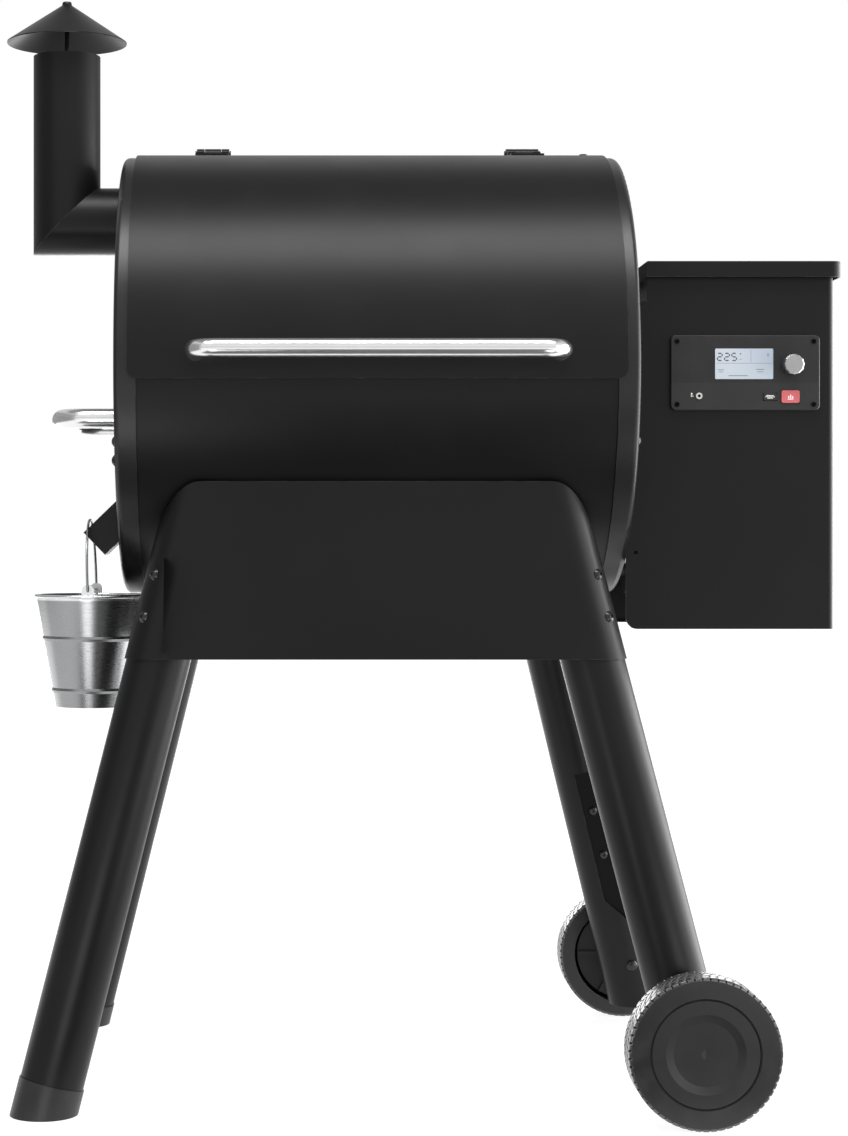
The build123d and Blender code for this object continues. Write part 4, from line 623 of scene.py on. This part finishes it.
# Dark cards: name, corners, tone
FLAGS = [
    ("left_flag", [(-1.35, -0.9, 0.4), (-1.35, 2.6, 0.4), (-1.35, 2.6, 1.7), (-1.35, -0.9, 1.7)], 0.25),
    ("bucket_flag", [(-0.21, -0.99, 0.1), (-0.05, -0.96, 0.1), (-0.05, -0.96, 0.5), (-0.21, -0.99, 0.5)], 0.05),
    ("bucket_card", [(-0.300, -0.31, 0.53), (-0.290, 0.02, 0.53), (-0.290, 0.02, 0.64), (-0.300, -0.31, 0.64)],
     0.004),
    ("floor_apron", [(-1.0, -2.6, 0.002), (1.2, -2.6, 0.002), (1.2, -0.46, 0.002), (-1.0, -0.46, 0.002)], 0.10),
]


def area_light(name, place, aim, size, power):
    lamp = bpy.data.lights.new(name, "AREA")
    lamp.shape = "RECTANGLE"
    lamp.size, lamp.size_y = size
    lamp.energy = power
    made = bpy.data.objects.new(name, lamp)
    made.location = place
    made.rotation_euler = (Vector(aim) - Vector(place)).to_track_quat("-Z", "Y").to_euler()
    made.visible_camera = False
    bpy.context.scene.collection.objects.link(made)


def staged(name, corners, look, seen=True, height=0.0):
    """One square of the studio, with a look of its own. An unseen one only shows in reflections."""
    mesh = bpy.data.meshes.new(name)
    mesh.from_pydata(corners, [], [(0, 1, 2, 3)])
    mesh.materials.append(look.material)
    made = bpy.data.objects.new(name, mesh)
    made.location.z = height
    made.visible_camera = seen
    made.visible_shadow = seen
    bpy.context.scene.collection.objects.link(made)


def flag(name, corners, tone):
    """Dark card that the camera doesn't see, only its reflection."""
    look = Look(name, Specular_IOR_Level=0.0)
    look.colour(look.blend(look.noise(4.0), [tone * 0.8] * 3, [tone * 1.2] * 3))
    look.gloss(look.vary(look.noise(9.0), 0.8, 0.9))
    staged(name, corners, look, seen=False)


def floor():
    """Pale floor, lit up to the white of the background away from the grill."""
    look = Look("pale_floor", Specular_IOR_Level=0.1)
    look.colour(look.blend(look.noise(3.0), (0.22, 0.22, 0.22), (0.24, 0.24, 0.24)))
    look.gloss(look.vary(look.noise(2.0), 0.75, 0.85))
    look.shader.inputs["Emission Color"].default_value = (1, 1, 1, 1)
    away = look.node("ShaderNodeVectorMath", {0: look.place}, operation="LENGTH").outputs["Value"]
    look.feed(look.shader.inputs["Emission Strength"], look.span(away, 0.8, 2.6, 0.90, 1.0))
    reach = 30.0
    corners = [(-reach, -reach, 0), (reach, -reach, 0), (reach, reach, 0), (-reach, reach, 0)]
    staged("floor", corners, look, height=-0.5 * MM)


def sky():
    """The room as a brightness for each direction: a bright wall in front, a dim one behind with a pale band.

    To the camera it's plain white."""
    world = bpy.data.worlds.new("studio")
    bpy.context.scene.world = world
    world.use_nodes = True
    room = Graph(world.node_tree)
    place = room.node("ShaderNodeTexCoord").outputs["Generated"]
    way = room.node("ShaderNodeSeparateXYZ", {0: place}).outputs
    front = room.span(way["Y"], 0.25, -0.6)
    rear = room.span(way["Y"], 0.25, -0.6, 1.0, 0.0)
    low_front = room.span(way["Z"], -0.05, 0.3, 0.55, 0.95)
    open_top = room.span(way["Z"], 0.55, 0.85, 1.0, 0.2)
    wall_low = room.span(way["Z"], 0.08, 0.22, 0.0, 0.55)
    wall_high = room.span(way["Z"], 0.70, 0.80, 1.0, 0.15)
    before = room.maths("MULTIPLY", front, room.maths("MULTIPLY", low_front, open_top))
    band = room.maths("ADD", room.maths("MULTIPLY", wall_low, wall_high), 0.16)
    total = room.maths("ADD", before, room.maths("MULTIPLY", rear, band))
    seen = room.node("ShaderNodeLightPath").outputs["Is Camera Ray"]
    back = room.tree.nodes["Background"]
    room.feed(back.inputs["Strength"], room.maths("MAXIMUM", total, seen))
    back.inputs["Color"].default_value = (1, 1, 1, 1)


def camera():
    data = bpy.data.cameras.new("camera")
    data.sensor_width = SENSOR
    data.lens = LENS
    data.shift_x = SHIFT_X
    data.shift_y = SHIFT_Y
    data.clip_end = 100
    made = bpy.data.objects.new("camera", data)
    made.location = EYE
    made.rotation_euler = (math.pi / 2, 0, 0)
    bpy.context.scene.collection.objects.link(made)
    bpy.context.scene.camera = made


bpy.context.scene.view_settings.view_transform = "Standard"
camera()
sky()
for light in LIGHTS:
    area_light(*light)
for card in FLAGS:
    flag(*card)
floor()
